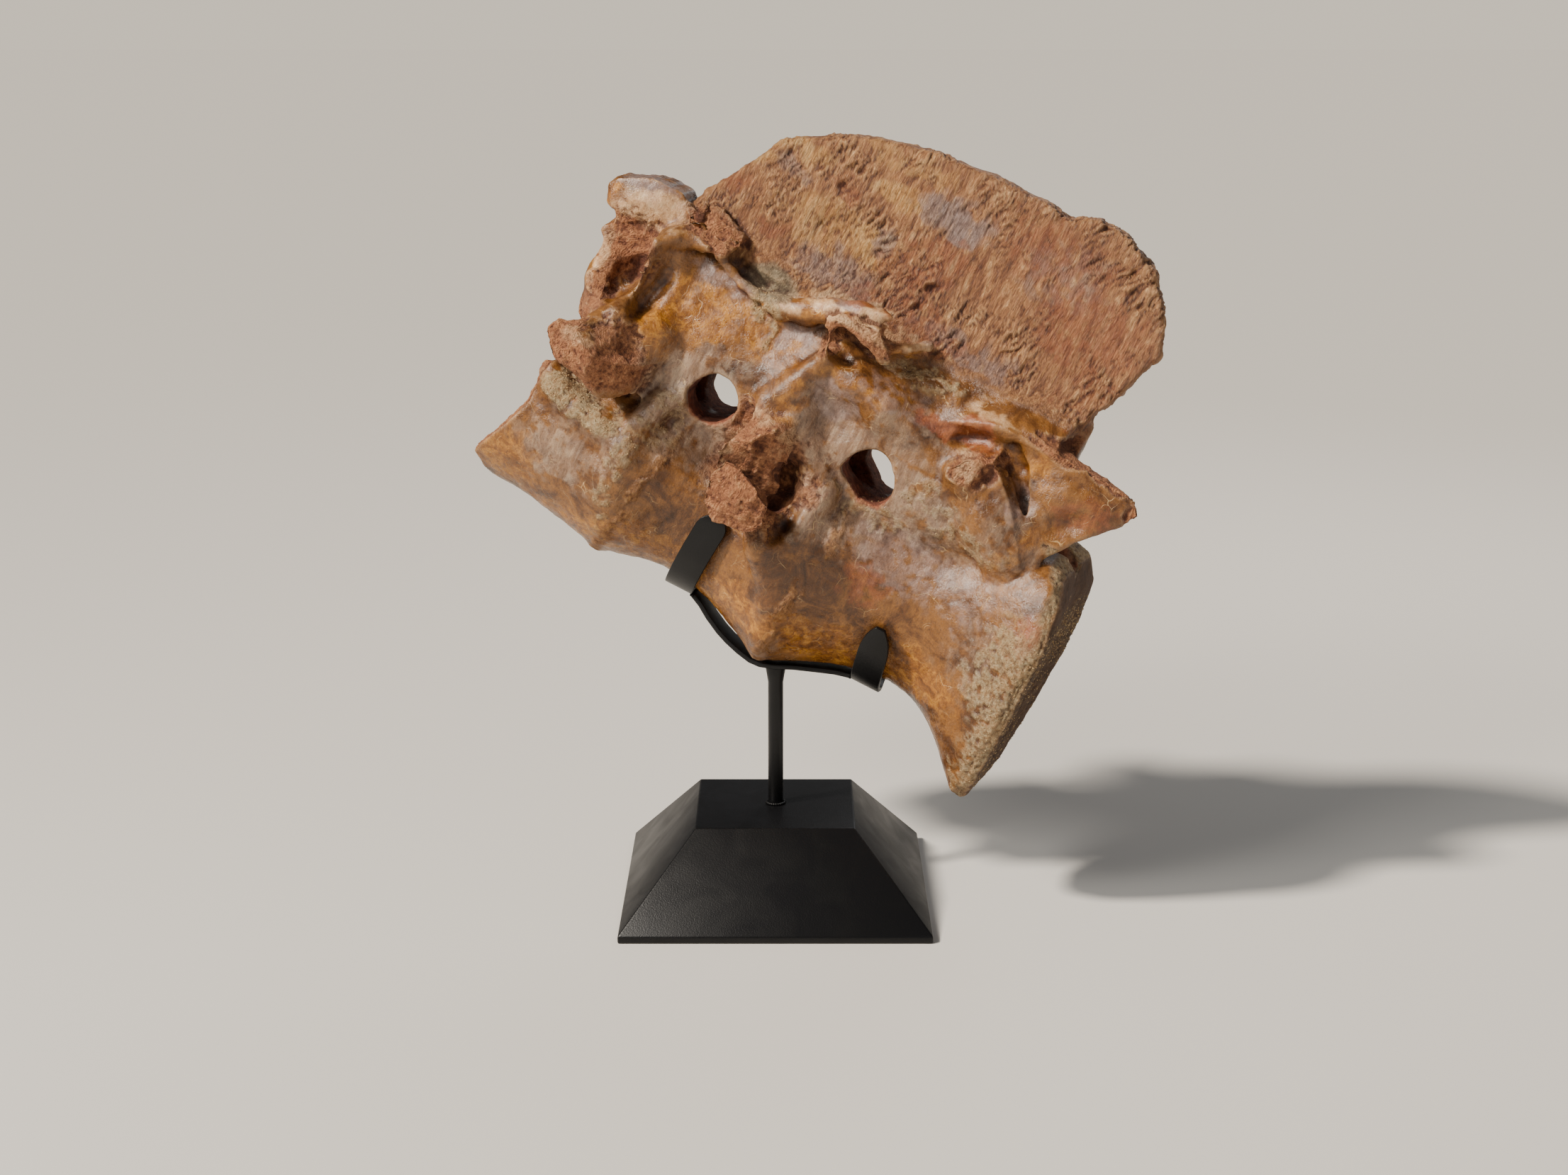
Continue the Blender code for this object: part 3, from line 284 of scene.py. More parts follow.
# %% Chunks with flat faces
def chunk(corners, blend, rounding=0.0025, sides=(NEAR, FAR), change=add):
    """A broken block: the convex hull of corners (x, out, z), its edges a little rounded."""
    for side in sides:
        size = 1.0 if side == NEAR else FAR_SCALE
        spots = np.array([(x, side * out * size, z) for x, out, z in corners])
        shape = bmesh.new()
        for spot in spots:
            shape.verts.new(spot)
        bmesh.ops.convex_hull(shape, input=shape.verts)
        shape.normal_update()
        cuts, x, y, z = patch(spots.min(0) - blend - 0.003, spots.max(0) + blend + 0.003)
        distance, middle = None, Vector(spots.mean(0))
        for face in shape.faces:
            normal = face.normal if (face.verts[0].co - middle).dot(face.normal) > 0 else -face.normal
            plane = x * normal.x + y * normal.y + z * normal.z - normal.dot(face.verts[0].co)
            distance = plane if distance is None else -soft_min(-distance, -plane, rounding)
        shape.free()
        change(distance, cuts, blend)


# %% [markdown]
# ## The row of centra and the arches
#
# Each centrum is a spool, wide at its two ends and pinched between them.  A row of oval sections
# describes it: where the underside and the top are, how wide it is, and how high its widest level
# sits.  The same kind of row gives the neural arches above, which lean in to carry the spines.

# %% Sections of the centra and the arches
CENTRA = np.array([
    (-0.310, 0.044, 0.180, 0.050, 0.10), (-0.266, 0.042, 0.178, 0.051, 0.08),
    (-0.236, 0.040, 0.178, 0.054, 0.10), (-0.200, 0.034, 0.180, 0.058, 0.10),
    (-0.172, 0.029, 0.182, 0.064, 0.05), (-0.160, 0.028, 0.182, 0.066, 0.05),
    (-0.142, 0.031, 0.182, 0.060, 0.05), (-0.120, 0.036, 0.180, 0.050, 0.08),
    (-0.098, 0.038, 0.178, 0.044, 0.10), (-0.070, 0.034, 0.178, 0.046, 0.12),
    (-0.045, 0.025, 0.179, 0.053, 0.11), (-0.021, 0.013, 0.181, 0.060, 0.09),
    (-0.004, 0.005, 0.182, 0.064, 0.08), (0.007, 0.006, 0.182, 0.064, 0.08),
    (0.022, 0.013, 0.182, 0.059, 0.09), (0.044, 0.024, 0.182, 0.051, 0.10),
    (0.072, 0.034, 0.182, 0.045, 0.12), (0.104, 0.039, 0.184, 0.043, 0.15),
    (0.130, 0.035, 0.188, 0.049, 0.20), (0.152, 0.023, 0.194, 0.059, 0.24),
    (0.172, 0.006, 0.201, 0.069, 0.26), (0.190, -0.014, 0.208, 0.077, 0.26),
    (0.203, -0.027, 0.211, 0.081, 0.25), (0.250, -0.050, 0.216, 0.088, 0.24),
])
ARCHES = np.array([
    (-0.262, 0.190, 0.262, 0.010, 0.0), (-0.248, 0.160, 0.290, 0.020, -0.2),
    (-0.226, 0.148, 0.308, 0.032, -0.2), (-0.206, 0.148, 0.318, 0.042, -0.2),
    (-0.190, 0.148, 0.326, 0.047, -0.3), (-0.168, 0.148, 0.326, 0.050, -0.3),
    (-0.135, 0.148, 0.324, 0.050, -0.3), (-0.090, 0.148, 0.322, 0.050, -0.3),
    (-0.055, 0.148, 0.330, 0.054, -0.3), (-0.030, 0.148, 0.328, 0.050, -0.3),
    (0.000, 0.148, 0.318, 0.050, -0.3), (0.030, 0.148, 0.312, 0.048, -0.3),
    (0.075, 0.148, 0.316, 0.050, -0.3), (0.115, 0.150, 0.322, 0.050, -0.3),
    (0.145, 0.160, 0.316, 0.042, -0.3), (0.166, 0.180, 0.300, 0.026, -0.2),
])
SECTION_EASE = 0.007
print("sections:", len(CENTRA), "for the centra and", len(ARCHES), "for the arches")


# %% A body of oval sections
def egg_distance(sections, x, y, z, squareness=0.0):
    """Distance from a body of oval sections that change along x; squareness fills out the rear."""
    finer = np.arange(-0.34, 0.30, 0.001)
    kernel = np.exp(-0.5 * (np.arange(-0.02, 0.0205, 0.001) / SECTION_EASE) ** 2)
    rows = []
    for column in sections.T[1:]:
        values = np.interp(finer, sections[:, 0], column)
        padded = np.pad(values, len(kernel) // 2, mode="edge")
        rows.append(np.interp(x, finer, np.convolve(padded, kernel / kernel.sum(), "valid")))
    low, high, half, lift = rows
    middle, tall = (low + high) / 2, (high - low) / 2
    rise = (z - middle) / tall
    wide = half * (1 + lift * np.clip(rise, -1.0, 1.0))
    across = y / wide
    power = 2.0 + squareness * step_up(x, 0.110, 0.180)
    reach = np.maximum(np.abs(rise) ** power + np.abs(across) ** power, 1e-9) ** (1 / power)
    slope = np.sqrt((rise / tall) ** 2 + (across / wide) ** 2) / np.maximum(np.hypot(rise, across), 1e-3)
    return (reach - 1) / slope


# %% Spools with their two ends
# The rear end face: how far back its rim is at each height, its turn, and its hollow.
RIM_HEIGHTS = (-0.030, 0.011, 0.081, 0.141, 0.175, 0.197, 0.212)
RIM_BACKS = (0.204, 0.213, 0.2165, 0.216, 0.212, 0.202, 0.186)
END_FACE_TURN = 0.105
END_HOLLOW = 0.009

body = egg_distance(CENTRA, ALL_X, ALL_Y, ALL_Z, 1.1)
rim = np.interp(ALL_Z, RIM_HEIGHTS, RIM_BACKS) + END_FACE_TURN * ALL_Y
bowl = np.clip(1 - (ALL_Y / 0.062) ** 2 - ((ALL_Z - 0.100) / 0.095) ** 2, 0.0, 1.0)
body = -soft_min(-body, -(ALL_X - rim + END_HOLLOW * bowl), 0.014)
add(body, ..., 0.004)

# The front end is broken off: where it stops at each height, and how it falls back to the sides.
BREAK_HEIGHTS = (0.030, 0.046, 0.060, 0.076, 0.098, 0.125, 0.151, 0.165, 0.182)
BREAK_FRONTS = (-0.256, -0.275, -0.2905, -0.284, -0.273, -0.262, -0.261, -0.257, -0.246)
break_face = ALL_X - np.interp(ALL_Z, BREAK_HEIGHTS, BREAK_FRONTS) - 0.10 * np.abs(ALL_Y)
cut_away(0.85 * break_face, ..., 0.004)
tell("with the spools")

# %% Raised lines, then the arches
# The rim of the front centrum and the first suture.
CENTRUM_RIM = [(-0.250, 0.046, 0.157, 0.0080), (-0.236, 0.052, 0.146, 0.0070),
               (-0.214, 0.055, 0.138, 0.0065), (-0.190, 0.058, 0.137, 0.0060), (-0.172, 0.058, 0.132, 0.0060)]
SUTURE_LINE = [(-0.163, 0.000, 0.0345, 0.0060), (-0.161, 0.035, 0.062, 0.0060),
               (-0.165, 0.054, 0.102, 0.0065), (-0.166, 0.058, 0.126, 0.0065),
               (-0.164, 0.056, 0.151, 0.0065), (-0.156, 0.051, 0.170, 0.0060),
               (-0.141, 0.045, 0.190, 0.0055)]
limb(CENTRUM_RIM, 0.014)
limb(SUTURE_LINE, 0.014)

cuts, x, y, z = patch((-0.275, -0.07, 0.13), (0.185, 0.07, 0.345))
walls = egg_distance(ARCHES, x, y, z)
walls = np.maximum(walls, np.maximum(-0.256 - x, x - 0.162))
add(walls, cuts, 0.012)
tell("with the arches")

# %% [markdown]
# ## The plate of fused spines
#
# Three blade-like spines have grown into one plate, two to three centimetres thick.  Its edge is
# weathered and steps in and out.  The front spine is broken lower down, and below its shelf the
# outer layer has come away and left a rough face.

# %% Outlines of the plate and the front fragment
SPINES = [
    (-0.192, 0.262), (-0.200, 0.300), (-0.203, 0.322), (-0.200, 0.335), (-0.183, 0.360),
    (-0.160, 0.399), (-0.141, 0.412), (-0.110, 0.427), (-0.078, 0.438), (-0.040, 0.444),
    (0.004, 0.448), (0.030, 0.446), (0.050, 0.447), (0.070, 0.443), (0.092, 0.454),
    (0.118, 0.451), (0.150, 0.435), (0.168, 0.413), (0.184, 0.381), (0.175, 0.356),
    (0.169, 0.337), (0.157, 0.311), (0.149, 0.295), (0.144, 0.262),
]
FRONT_SPINE = [
    (-0.212, 0.200), (-0.232, 0.202), (-0.241, 0.218), (-0.248, 0.232), (-0.255, 0.240),
    (-0.253, 0.250), (-0.258, 0.266), (-0.262, 0.274), (-0.258, 0.288), (-0.268, 0.292),
    (-0.272, 0.308), (-0.268, 0.315), (-0.254, 0.320), (-0.240, 0.328), (-0.226, 0.330),
    (-0.213, 0.327), (-0.204, 0.321), (-0.186, 0.310), (-0.184, 0.250),
]
print("outline points:", len(SPINES), "and", len(FRONT_SPINE))


# %% Spine plate and front fragment
def plate_half(x, z):
    """Half the plate's thickness: a little thicker low down and along the top."""
    spots = np.stack([x.ravel(), np.zeros(x.size), z.ravel()], 1)
    waves = layered_noise(spots, 0.075, 2, 31).reshape(x.shape)
    low = step_up(0.345 - z, 0.0, 0.04)
    return 0.0118 + 0.0030 * low + 0.0016 * waves


def plate_middle(x, z):
    """The plate isn't quite flat: its middle wanders to either side."""
    spots = np.stack([x.ravel(), np.ones(x.size), z.ravel()], 1)
    return 0.0030 * layered_noise(spots, 0.140, 1, 57).reshape(x.shape)


def front_spine_half(x, z):
    """The front fragment is full above its shelf and broken back below it."""
    shelf = 0.303 + 0.60 * (x + 0.235)
    return 0.0205 - 0.0015 * step_up(z - shelf, -0.004, 0.006)


slab(SPINES, plate_middle, plate_half, 0.005, 0.010, ragged=0.0016, seed=3)
slab(FRONT_SPINE, 0.0, front_spine_half, 0.003, 0.006, ragged=0.0030, seed=5)
chunk([(-0.272, 0.017, 0.307), (-0.267, 0.021, 0.317), (-0.254, 0.022, 0.321), (-0.238, 0.021, 0.330),
       (-0.214, 0.020, 0.329), (-0.204, 0.015, 0.323), (-0.266, 0.023, 0.297), (-0.246, 0.026, 0.303),
       (-0.226, 0.025, 0.315), (-0.208, 0.020, 0.319), (-0.262, 0.008, 0.294), (-0.204, 0.008, 0.312),
       (-0.250, 0.0225, 0.282), (-0.236, 0.0235, 0.290), (-0.214, 0.0220, 0.304)], 0.003, rounding=0.0008)
tell("with the plate")

# %% A slip of rock that still fills the corner between the plate and the ledge below it
MATRIX_PATCH = [(-0.140, 0.297), (-0.134, 0.308), (-0.122, 0.311), (-0.099, 0.306), (-0.094, 0.290),
                (-0.108, 0.284), (-0.130, 0.288)]
slab(MATRIX_PATCH, 0.0, 0.0172, 0.002, 0.002, ragged=0.0010, seed=7)
tell("with the slip of rock")

# %% [markdown]
# ## Rib stumps, laminae and processes
#
# Sacral ribs grew out of the sides and have snapped off short.  Thin struts of bone, the laminae,
# brace them against the arch, with deep hollows between.  The stumps are chunks with flat broken
# faces; the laminae are limbs, added with a small blend where a crest is sharp and a larger one
# where it melts into the wall.

# %% Front rib stump
chunk([(-0.254, 0.100, 0.206), (-0.246, 0.102, 0.211), (-0.229, 0.096, 0.217), (-0.255, 0.105, 0.197),
       (-0.242, 0.108, 0.182), (-0.222, 0.107, 0.176), (-0.208, 0.109, 0.179), (-0.203, 0.110, 0.199),
       (-0.218, 0.113, 0.203), (-0.212, 0.098, 0.169), (-0.194, 0.088, 0.163), (-0.180, 0.082, 0.177),
       (-0.186, 0.092, 0.200), (-0.172, 0.070, 0.203), (-0.238, 0.045, 0.188), (-0.215, 0.040, 0.224),
       (-0.170, 0.035, 0.210), (-0.172, 0.050, 0.172), (-0.218, 0.055, 0.166)], 0.010)
limb([(-0.214, 0.072, 0.214, 0.0150), (-0.209, 0.066, 0.226, 0.0110), (-0.208, 0.060, 0.238, 0.0070)], 0.016)
limb([(-0.190, 0.052, 0.212, 0.0170), (-0.184, 0.050, 0.222, 0.0140), (-0.182, 0.042, 0.232, 0.0110)], 0.016)
tell("with the front stumps")

# %% Front lamina, a thin wall from the stump to the spine
limb([(-0.208, 0.062, 0.238, 0.0055), (-0.208, 0.064, 0.250, 0.0030), (-0.210, 0.061, 0.264, 0.0024),
      (-0.211, 0.059, 0.278, 0.0026), (-0.210, 0.055, 0.290, 0.0032), (-0.200, 0.046, 0.299, 0.0040),
      (-0.192, 0.038, 0.302, 0.0050)], 0.003)
chunk([(-0.2090, 0.062, 0.238), (-0.2060, 0.062, 0.238), (-0.2095, 0.064, 0.252), (-0.2070, 0.064, 0.252),
       (-0.2120, 0.058, 0.280), (-0.2095, 0.058, 0.280), (-0.2080, 0.048, 0.296), (-0.2040, 0.048, 0.298),
       (-0.2100, 0.026, 0.236), (-0.2030, 0.026, 0.236), (-0.2100, 0.024, 0.300), (-0.2020, 0.024, 0.302)],
      0.004, rounding=0.0008)
limb([(-0.196, 0.038, 0.303, 0.0055), (-0.176, 0.040, 0.303, 0.0055), (-0.160, 0.043, 0.306, 0.0050)], 0.004)
chunk([(-0.186, 0.040, 0.304), (-0.168, 0.043, 0.305), (-0.154, 0.042, 0.308), (-0.148, 0.034, 0.315),
       (-0.152, 0.022, 0.322), (-0.176, 0.022, 0.332), (-0.198, 0.022, 0.332), (-0.194, 0.034, 0.312),
       (-0.186, 0.010, 0.332), (-0.150, 0.010, 0.318), (-0.160, 0.010, 0.300)], 0.006)
chunk([(-0.206, 0.028, 0.322), (-0.190, 0.040, 0.304), (-0.184, 0.036, 0.312), (-0.196, 0.026, 0.326),
       (-0.200, 0.010, 0.310)], 0.002, rounding=0.001)
limb([(-0.201, 0.036, 0.236, 0.0160), (-0.201, 0.036, 0.262, 0.0140), (-0.200, 0.033, 0.288, 0.0115)], 0.018)
tell("with the front lamina")

# %% Wall in front of the pocket that the front lamina closes
limb([(-0.238, 0.020, 0.216, 0.0140), (-0.244, 0.022, 0.236, 0.0120), (-0.245, 0.022, 0.256, 0.0110)], 0.012)
limb([(-0.240, 0.032, 0.212, 0.0110), (-0.224, 0.046, 0.224, 0.0110)], 0.012)
tell("with the wall")

# %% Ledge over the front arch, then a rounded bar that runs back
limb([(-0.160, 0.040, 0.300, 0.0042), (-0.148, 0.039, 0.293, 0.0034), (-0.136, 0.039, 0.288, 0.0030),
      (-0.124, 0.040, 0.286, 0.0034), (-0.110, 0.042, 0.285, 0.0048), (-0.098, 0.043, 0.286, 0.0062)], 0.005)
limb([(-0.098, 0.041, 0.286, 0.0070), (-0.080, 0.044, 0.293, 0.0075), (-0.060, 0.049, 0.303, 0.0078),
      (-0.040, 0.054, 0.312, 0.0074), (-0.026, 0.057, 0.317, 0.0060)], 0.012)
chunk([(-0.040, 0.060, 0.315), (-0.022, 0.064, 0.323), (-0.014, 0.062, 0.323), (-0.014, 0.060, 0.317),
       (-0.030, 0.062, 0.309), (-0.026, 0.046, 0.324), (-0.018, 0.044, 0.318), (-0.036, 0.044, 0.312)],
      0.004, rounding=0.002)
tell("with the ledge and the bar")

# %% Middle lamina and the pedicle below it
limb([(-0.050, 0.060, 0.270, 0.0055), (-0.054, 0.060, 0.258, 0.0050), (-0.061, 0.060, 0.242, 0.0055),
      (-0.066, 0.058, 0.230, 0.0090), (-0.074, 0.056, 0.216, 0.0130)], 0.008)
limb([(-0.060, 0.050, 0.244, 0.0090), (-0.075, 0.040, 0.236, 0.0120)], 0.016)
limb([(-0.060, 0.050, 0.230, 0.0140), (-0.050, 0.048, 0.212, 0.0160), (-0.040, 0.046, 0.198, 0.0160),
      (-0.022, 0.044, 0.182, 0.0140)], 0.008)
tell("with the middle lamina")

# %% Broken knob and fin
limb([(-0.051, 0.060, 0.268, 0.0058), (-0.053, 0.062, 0.282, 0.0056), (-0.056, 0.063, 0.297, 0.0056),
      (-0.050, 0.066, 0.303, 0.0056), (-0.040, 0.066, 0.305, 0.0064)], 0.003)
chunk([(-0.046, 0.070, 0.308), (-0.030, 0.073, 0.312), (-0.018, 0.073, 0.312), (-0.010, 0.071, 0.303),
       (0.003, 0.063, 0.288), (-0.008, 0.066, 0.284), (-0.015, 0.073, 0.292), (-0.028, 0.075, 0.298),
       (-0.046, 0.070, 0.300), (-0.042, 0.045, 0.312), (-0.012, 0.042, 0.312), (0.002, 0.044, 0.290),
       (-0.020, 0.046, 0.292)], 0.004, rounding=0.002)
limb([(-0.010, 0.054, 0.297, 0.0034), (0.004, 0.042, 0.301, 0.0038), (0.017, 0.024, 0.307, 0.0042)], 0.004)
limb([(-0.040, 0.044, 0.262, 0.016), (-0.018, 0.045, 0.258, 0.0155), (0.008, 0.044, 0.252, 0.0150),
      (0.034, 0.038, 0.247, 0.0140)], 0.014)
tell("with the knob and the fin")

# %% Middle rib stump: a hollow-faced shell above and a broken block below
chunk([(-0.079, 0.062, 0.212), (-0.052, 0.063, 0.217), (-0.082, 0.078, 0.198), (-0.094, 0.088, 0.178),
       (-0.070, 0.091, 0.191), (-0.060, 0.086, 0.204), (-0.043, 0.073, 0.202), (-0.036, 0.069, 0.185),
       (-0.034, 0.060, 0.150), (-0.080, 0.060, 0.130), (-0.092, 0.082, 0.155), (-0.080, 0.045, 0.140),
       (-0.040, 0.045, 0.150), (-0.070, 0.040, 0.220)], 0.008)
chunk([(-0.089, 0.107, 0.150), (-0.083, 0.104, 0.130), (-0.084, 0.100, 0.173), (-0.071, 0.104, 0.174),
       (-0.063, 0.108, 0.166), (-0.057, 0.107, 0.169), (-0.041, 0.107, 0.160), (-0.031, 0.103, 0.151),
       (-0.033, 0.103, 0.128), (-0.041, 0.103, 0.122), (-0.072, 0.105, 0.120), (-0.057, 0.112, 0.146),
       (-0.084, 0.070, 0.150), (-0.042, 0.070, 0.152), (-0.060, 0.066, 0.128)], 0.003, rounding=0.0008)
limb([(-0.018, 0.048, 0.176, 0.0130), (-0.006, 0.050, 0.170, 0.0110)], 0.010)
limb([(-0.012, 0.050, 0.158, 0.0150), (-0.013, 0.052, 0.130, 0.0150), (-0.012, 0.054, 0.104, 0.0130),
      (-0.004, 0.052, 0.070, 0.0105), (0.000, 0.042, 0.036, 0.0080), (0.000, 0.022, 0.016, 0.0060)], 0.012)
limb([(-0.040, 0.066, 0.128, 0.0140), (-0.030, 0.066, 0.110, 0.0120), (-0.016, 0.058, 0.090, 0.0110)], 0.012)
tell("with the middle stumps")

# %% Rear arch: broken boss, upright ridge and shelf
chunk([(0.0753, 0.067, 0.2290), (0.0752, 0.067, 0.2381), (0.0826, 0.067, 0.2489), (0.0936, 0.066, 0.2551),
       (0.1017, 0.065, 0.2534), (0.1018, 0.067, 0.2443), (0.0944, 0.069, 0.2335), (0.0834, 0.069, 0.2273),
       (0.066, 0.036, 0.232), (0.086, 0.036, 0.262), (0.112, 0.036, 0.256), (0.106, 0.045, 0.214),
       (0.080, 0.045, 0.216)], 0.005, rounding=0.0015)
chunk([(0.104, 0.062, 0.258), (0.1155, 0.063, 0.2455), (0.1315, 0.063, 0.2316), (0.1453, 0.063, 0.2100),
       (0.1600, 0.061, 0.1863), (0.085, 0.046, 0.236), (0.100, 0.046, 0.212), (0.124, 0.048, 0.188),
       (0.148, 0.052, 0.170), (0.108, 0.030, 0.264), (0.122, 0.032, 0.252), (0.137, 0.034, 0.236),
       (0.151, 0.036, 0.214), (0.166, 0.040, 0.190)], 0.007, rounding=0.0012)
limb([(0.098, 0.044, 0.226, 0.0150), (0.120, 0.046, 0.208, 0.0160), (0.140, 0.050, 0.192, 0.0160)], 0.016)
chunk([(0.040, 0.036, 0.256), (0.062, 0.046, 0.266), (0.087, 0.051, 0.279), (0.108, 0.052, 0.2815),
       (0.143, 0.050, 0.2805), (0.150, 0.020, 0.304), (0.110, 0.018, 0.309), (0.070, 0.018, 0.296),
       (0.042, 0.018, 0.284), (0.060, 0.020, 0.256), (0.090, 0.020, 0.262), (0.140, 0.020, 0.262)],
      0.006, rounding=0.0015)
limb([(0.010, 0.030, 0.276, 0.0040), (0.034, 0.029, 0.279, 0.0040), (0.056, 0.030, 0.281, 0.0040)], 0.010)
tell("with the boss, ridge and shelf")

# %% Rear process, a pyramid that points back; the far one is broken off shorter
PROCESS = [(0.116, 0.046, 0.288), (0.144, 0.052, 0.284), (0.169, 0.050, 0.279), (0.192, 0.048, 0.277),
           (0.213, 0.047, 0.279), (0.226, 0.048, 0.273), (0.230, 0.048, 0.265), (0.208, 0.052, 0.247),
           (0.197, 0.054, 0.234), (0.182, 0.056, 0.220), (0.176, 0.057, 0.210), (0.150, 0.054, 0.204),
           (0.171, 0.060, 0.250), (0.150, 0.055, 0.258), (0.120, 0.016, 0.292), (0.212, 0.032, 0.276),
           (0.190, 0.030, 0.238), (0.165, 0.022, 0.206), (0.130, 0.020, 0.220)]
chunk([(0.144, 0.054, 0.226), (0.158, 0.059, 0.205), (0.168, 0.058, 0.194), (0.184, 0.052, 0.220),
       (0.172, 0.052, 0.244), (0.148, 0.030, 0.240), (0.150, 0.030, 0.190), (0.184, 0.030, 0.226)],
      0.014, rounding=0.003)
FAR_PROCESS_END = 0.164
chunk(PROCESS, 0.008, rounding=0.004, sides=(NEAR,))
chunk([(min(x, FAR_PROCESS_END), out, z) for x, out, z in PROCESS], 0.008, rounding=0.004, sides=(FAR,))
tell("with the processes")

# %% [markdown]
# ## Hollows and holes
#
# The neural canal runs right along the row.  Over each suture a foramen, the hole for a nerve,
# opens from it on both sides.  Fossae are the pockets between laminae.

# %% Canal and foramina
CANAL = [(-0.320, 0.0, 0.186, 0.016), (-0.160, 0.0, 0.190, 0.016), (0.040, 0.0, 0.194, 0.017),
         (0.280, 0.0, 0.214, 0.017)]
FORAMEN_FRONT = [(-0.141, 0.190), (-0.136, 0.205), (-0.123, 0.218), (-0.108, 0.216), (-0.099, 0.207),
                 (-0.097, 0.195), (-0.103, 0.181), (-0.113, 0.174), (-0.129, 0.175)]
FORAMEN_REAR = [(-0.003, 0.192), (0.002, 0.208), (0.015, 0.221), (0.030, 0.218), (0.040, 0.206),
                (0.044, 0.192), (0.038, 0.175), (0.022, 0.174), (0.009, 0.184)]
limb(CANAL, 0.004, sides=(NEAR,), change=cut_away)
for outline, shift in ((FORAMEN_FRONT, 0.0), (FORAMEN_REAR, 0.008)):
    slab(eased(outline), -0.10, 0.11, 0.006, 0.003, ragged=0.0006, seed=12, change=cut_away)
    slab(eased([(x + shift, z) for x, z in outline]), 0.10, 0.11, 0.006, 0.003, ragged=0.0006,
         seed=14, change=cut_away)

print("holes opened: the canal and a pair of foramina over each suture")

# %% Pockets of the front bone, on both sides of its lamina, and the gap behind the ledge
ovoid((-0.2245, 0.052, 0.254), (0.0130, 0.0340, 0.0280), 0.004, turn=-0.22)
ovoid((-0.1935, 0.070, 0.264), (0.0120, 0.0290, 0.0340), 0.008, turn=-0.20)
limb([(-0.158, 0.028, 0.305, 0.0050), (-0.140, 0.026, 0.297, 0.0055), (-0.122, 0.028, 0.294, 0.0060),
      (-0.104, 0.030, 0.298, 0.0045)], 0.003, change=cut_away)
tell("with the front pockets")

# %% Pockets of the middle bone: under the bar, in the knob, at the fin and beside the dome
ovoid((-0.078, 0.062, 0.274), (0.0250, 0.0160, 0.0105), 0.004, turn=0.42)
ovoid((-0.039, 0.070, 0.284), (0.0085, 0.0260, 0.0080), 0.002, turn=-0.45)
ovoid((-0.037, 0.060, 0.276), (0.0120, 0.0140, 0.0070), 0.004, turn=-0.25)
ovoid((-0.002, 0.050, 0.312), (0.0150, 0.0240, 0.0080), 0.003, turn=0.20)
ovoid((0.008, 0.048, 0.287), (0.0150, 0.0200, 0.0080), 0.003, turn=-0.30)
ovoid((-0.018, 0.079, 0.226), (0.0230, 0.0290, 0.0290), 0.010, turn=-0.60)

# The middle stump has a recess in its broken face, and a dark slot behind the block.
ovoid((-0.054, 0.104, 0.182), (0.0220, 0.0250, 0.0115), 0.003, turn=-0.55)
ovoid((-0.036, 0.094, 0.169), (0.0160, 0.0350, 0.0130), 0.002, turn=-0.75)
ovoid((-0.021, 0.086, 0.146), (0.0100, 0.0300, 0.0300), 0.004, turn=-0.10)
tell("with the middle pockets")

# %% Pockets of the rear bone: the red-lined one, the slot behind the ridge, the scoops of the process
ovoid((0.080, 0.062, 0.2600), (0.0260, 0.0260, 0.0115), 0.002, turn=0.46)
for out in (0.044, 0.060):
    limb([(0.113, out, 0.268, 0.0060), (0.125, out, 0.2565, 0.0075), (0.138, out, 0.240, 0.0060),
          (0.145, out + 0.006, 0.226, 0.0040)], 0.004, change=cut_away)
ovoid((0.142, 0.066, 0.264), (0.0180, 0.0140, 0.0095), 0.005, turn=-0.45)
ovoid((0.178, 0.080, 0.236), (0.0280, 0.0310, 0.0170), 0.008, turn=0.60)
limb([(0.148, 0.060, 0.272, 0.0045), (0.176, 0.0585, 0.2690, 0.0045), (0.206, 0.056, 0.2660, 0.0035)], 0.005,
     change=cut_away)
tell("with the rear pockets")

# %% [markdown]
# ## Keeping clear of the steel
#
# The strap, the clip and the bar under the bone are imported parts, and the clay must not run
# through them.  A closest-point search gives the distance to their faces, and the clay is cut
# back to a fraction of a millimetre off them, as a mount maker would pad and fit them.

# %% Cut the clay back from the steel
STEEL_CLEARANCE = 0.0008


def steel_tree(name):
    """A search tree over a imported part's faces, in the bone's frame."""
    shape = packed_shape(name)
    shape.transform(bone_frame.inverted())
    corners = np.array([vertex.co for vertex in shape.verts])
    tree = BVHTree.FromBMesh(shape)
    shape.free()
    return tree, corners.min(0), corners.max(0)


steel = {name: steel_tree(name) for name in ("stand_strap", "stand_clip", "stand_cradle")}
for tree, low, high in steel.values():
    cuts, x, y, z = patch(low - 0.004, high + 0.004)
    spots = np.stack([part.ravel() for part in np.broadcast_arrays(x, y, z)], 1)
    near_skin = np.abs(clay[cuts].ravel()) < 0.012
    distance = np.full(len(spots), 0.02)
    for row in np.flatnonzero(near_skin):
        place, normal, _, gap = tree.find_nearest(spots[row])
        inside = (Vector(spots[row]) - place).dot(normal) < -0.7 * gap
        distance[row] = -gap if inside else gap
    cut_away(distance.reshape(clay[cuts].shape) - STEEL_CLEARANCE, cuts, 0.0008)
print("clay is clear of the steel")
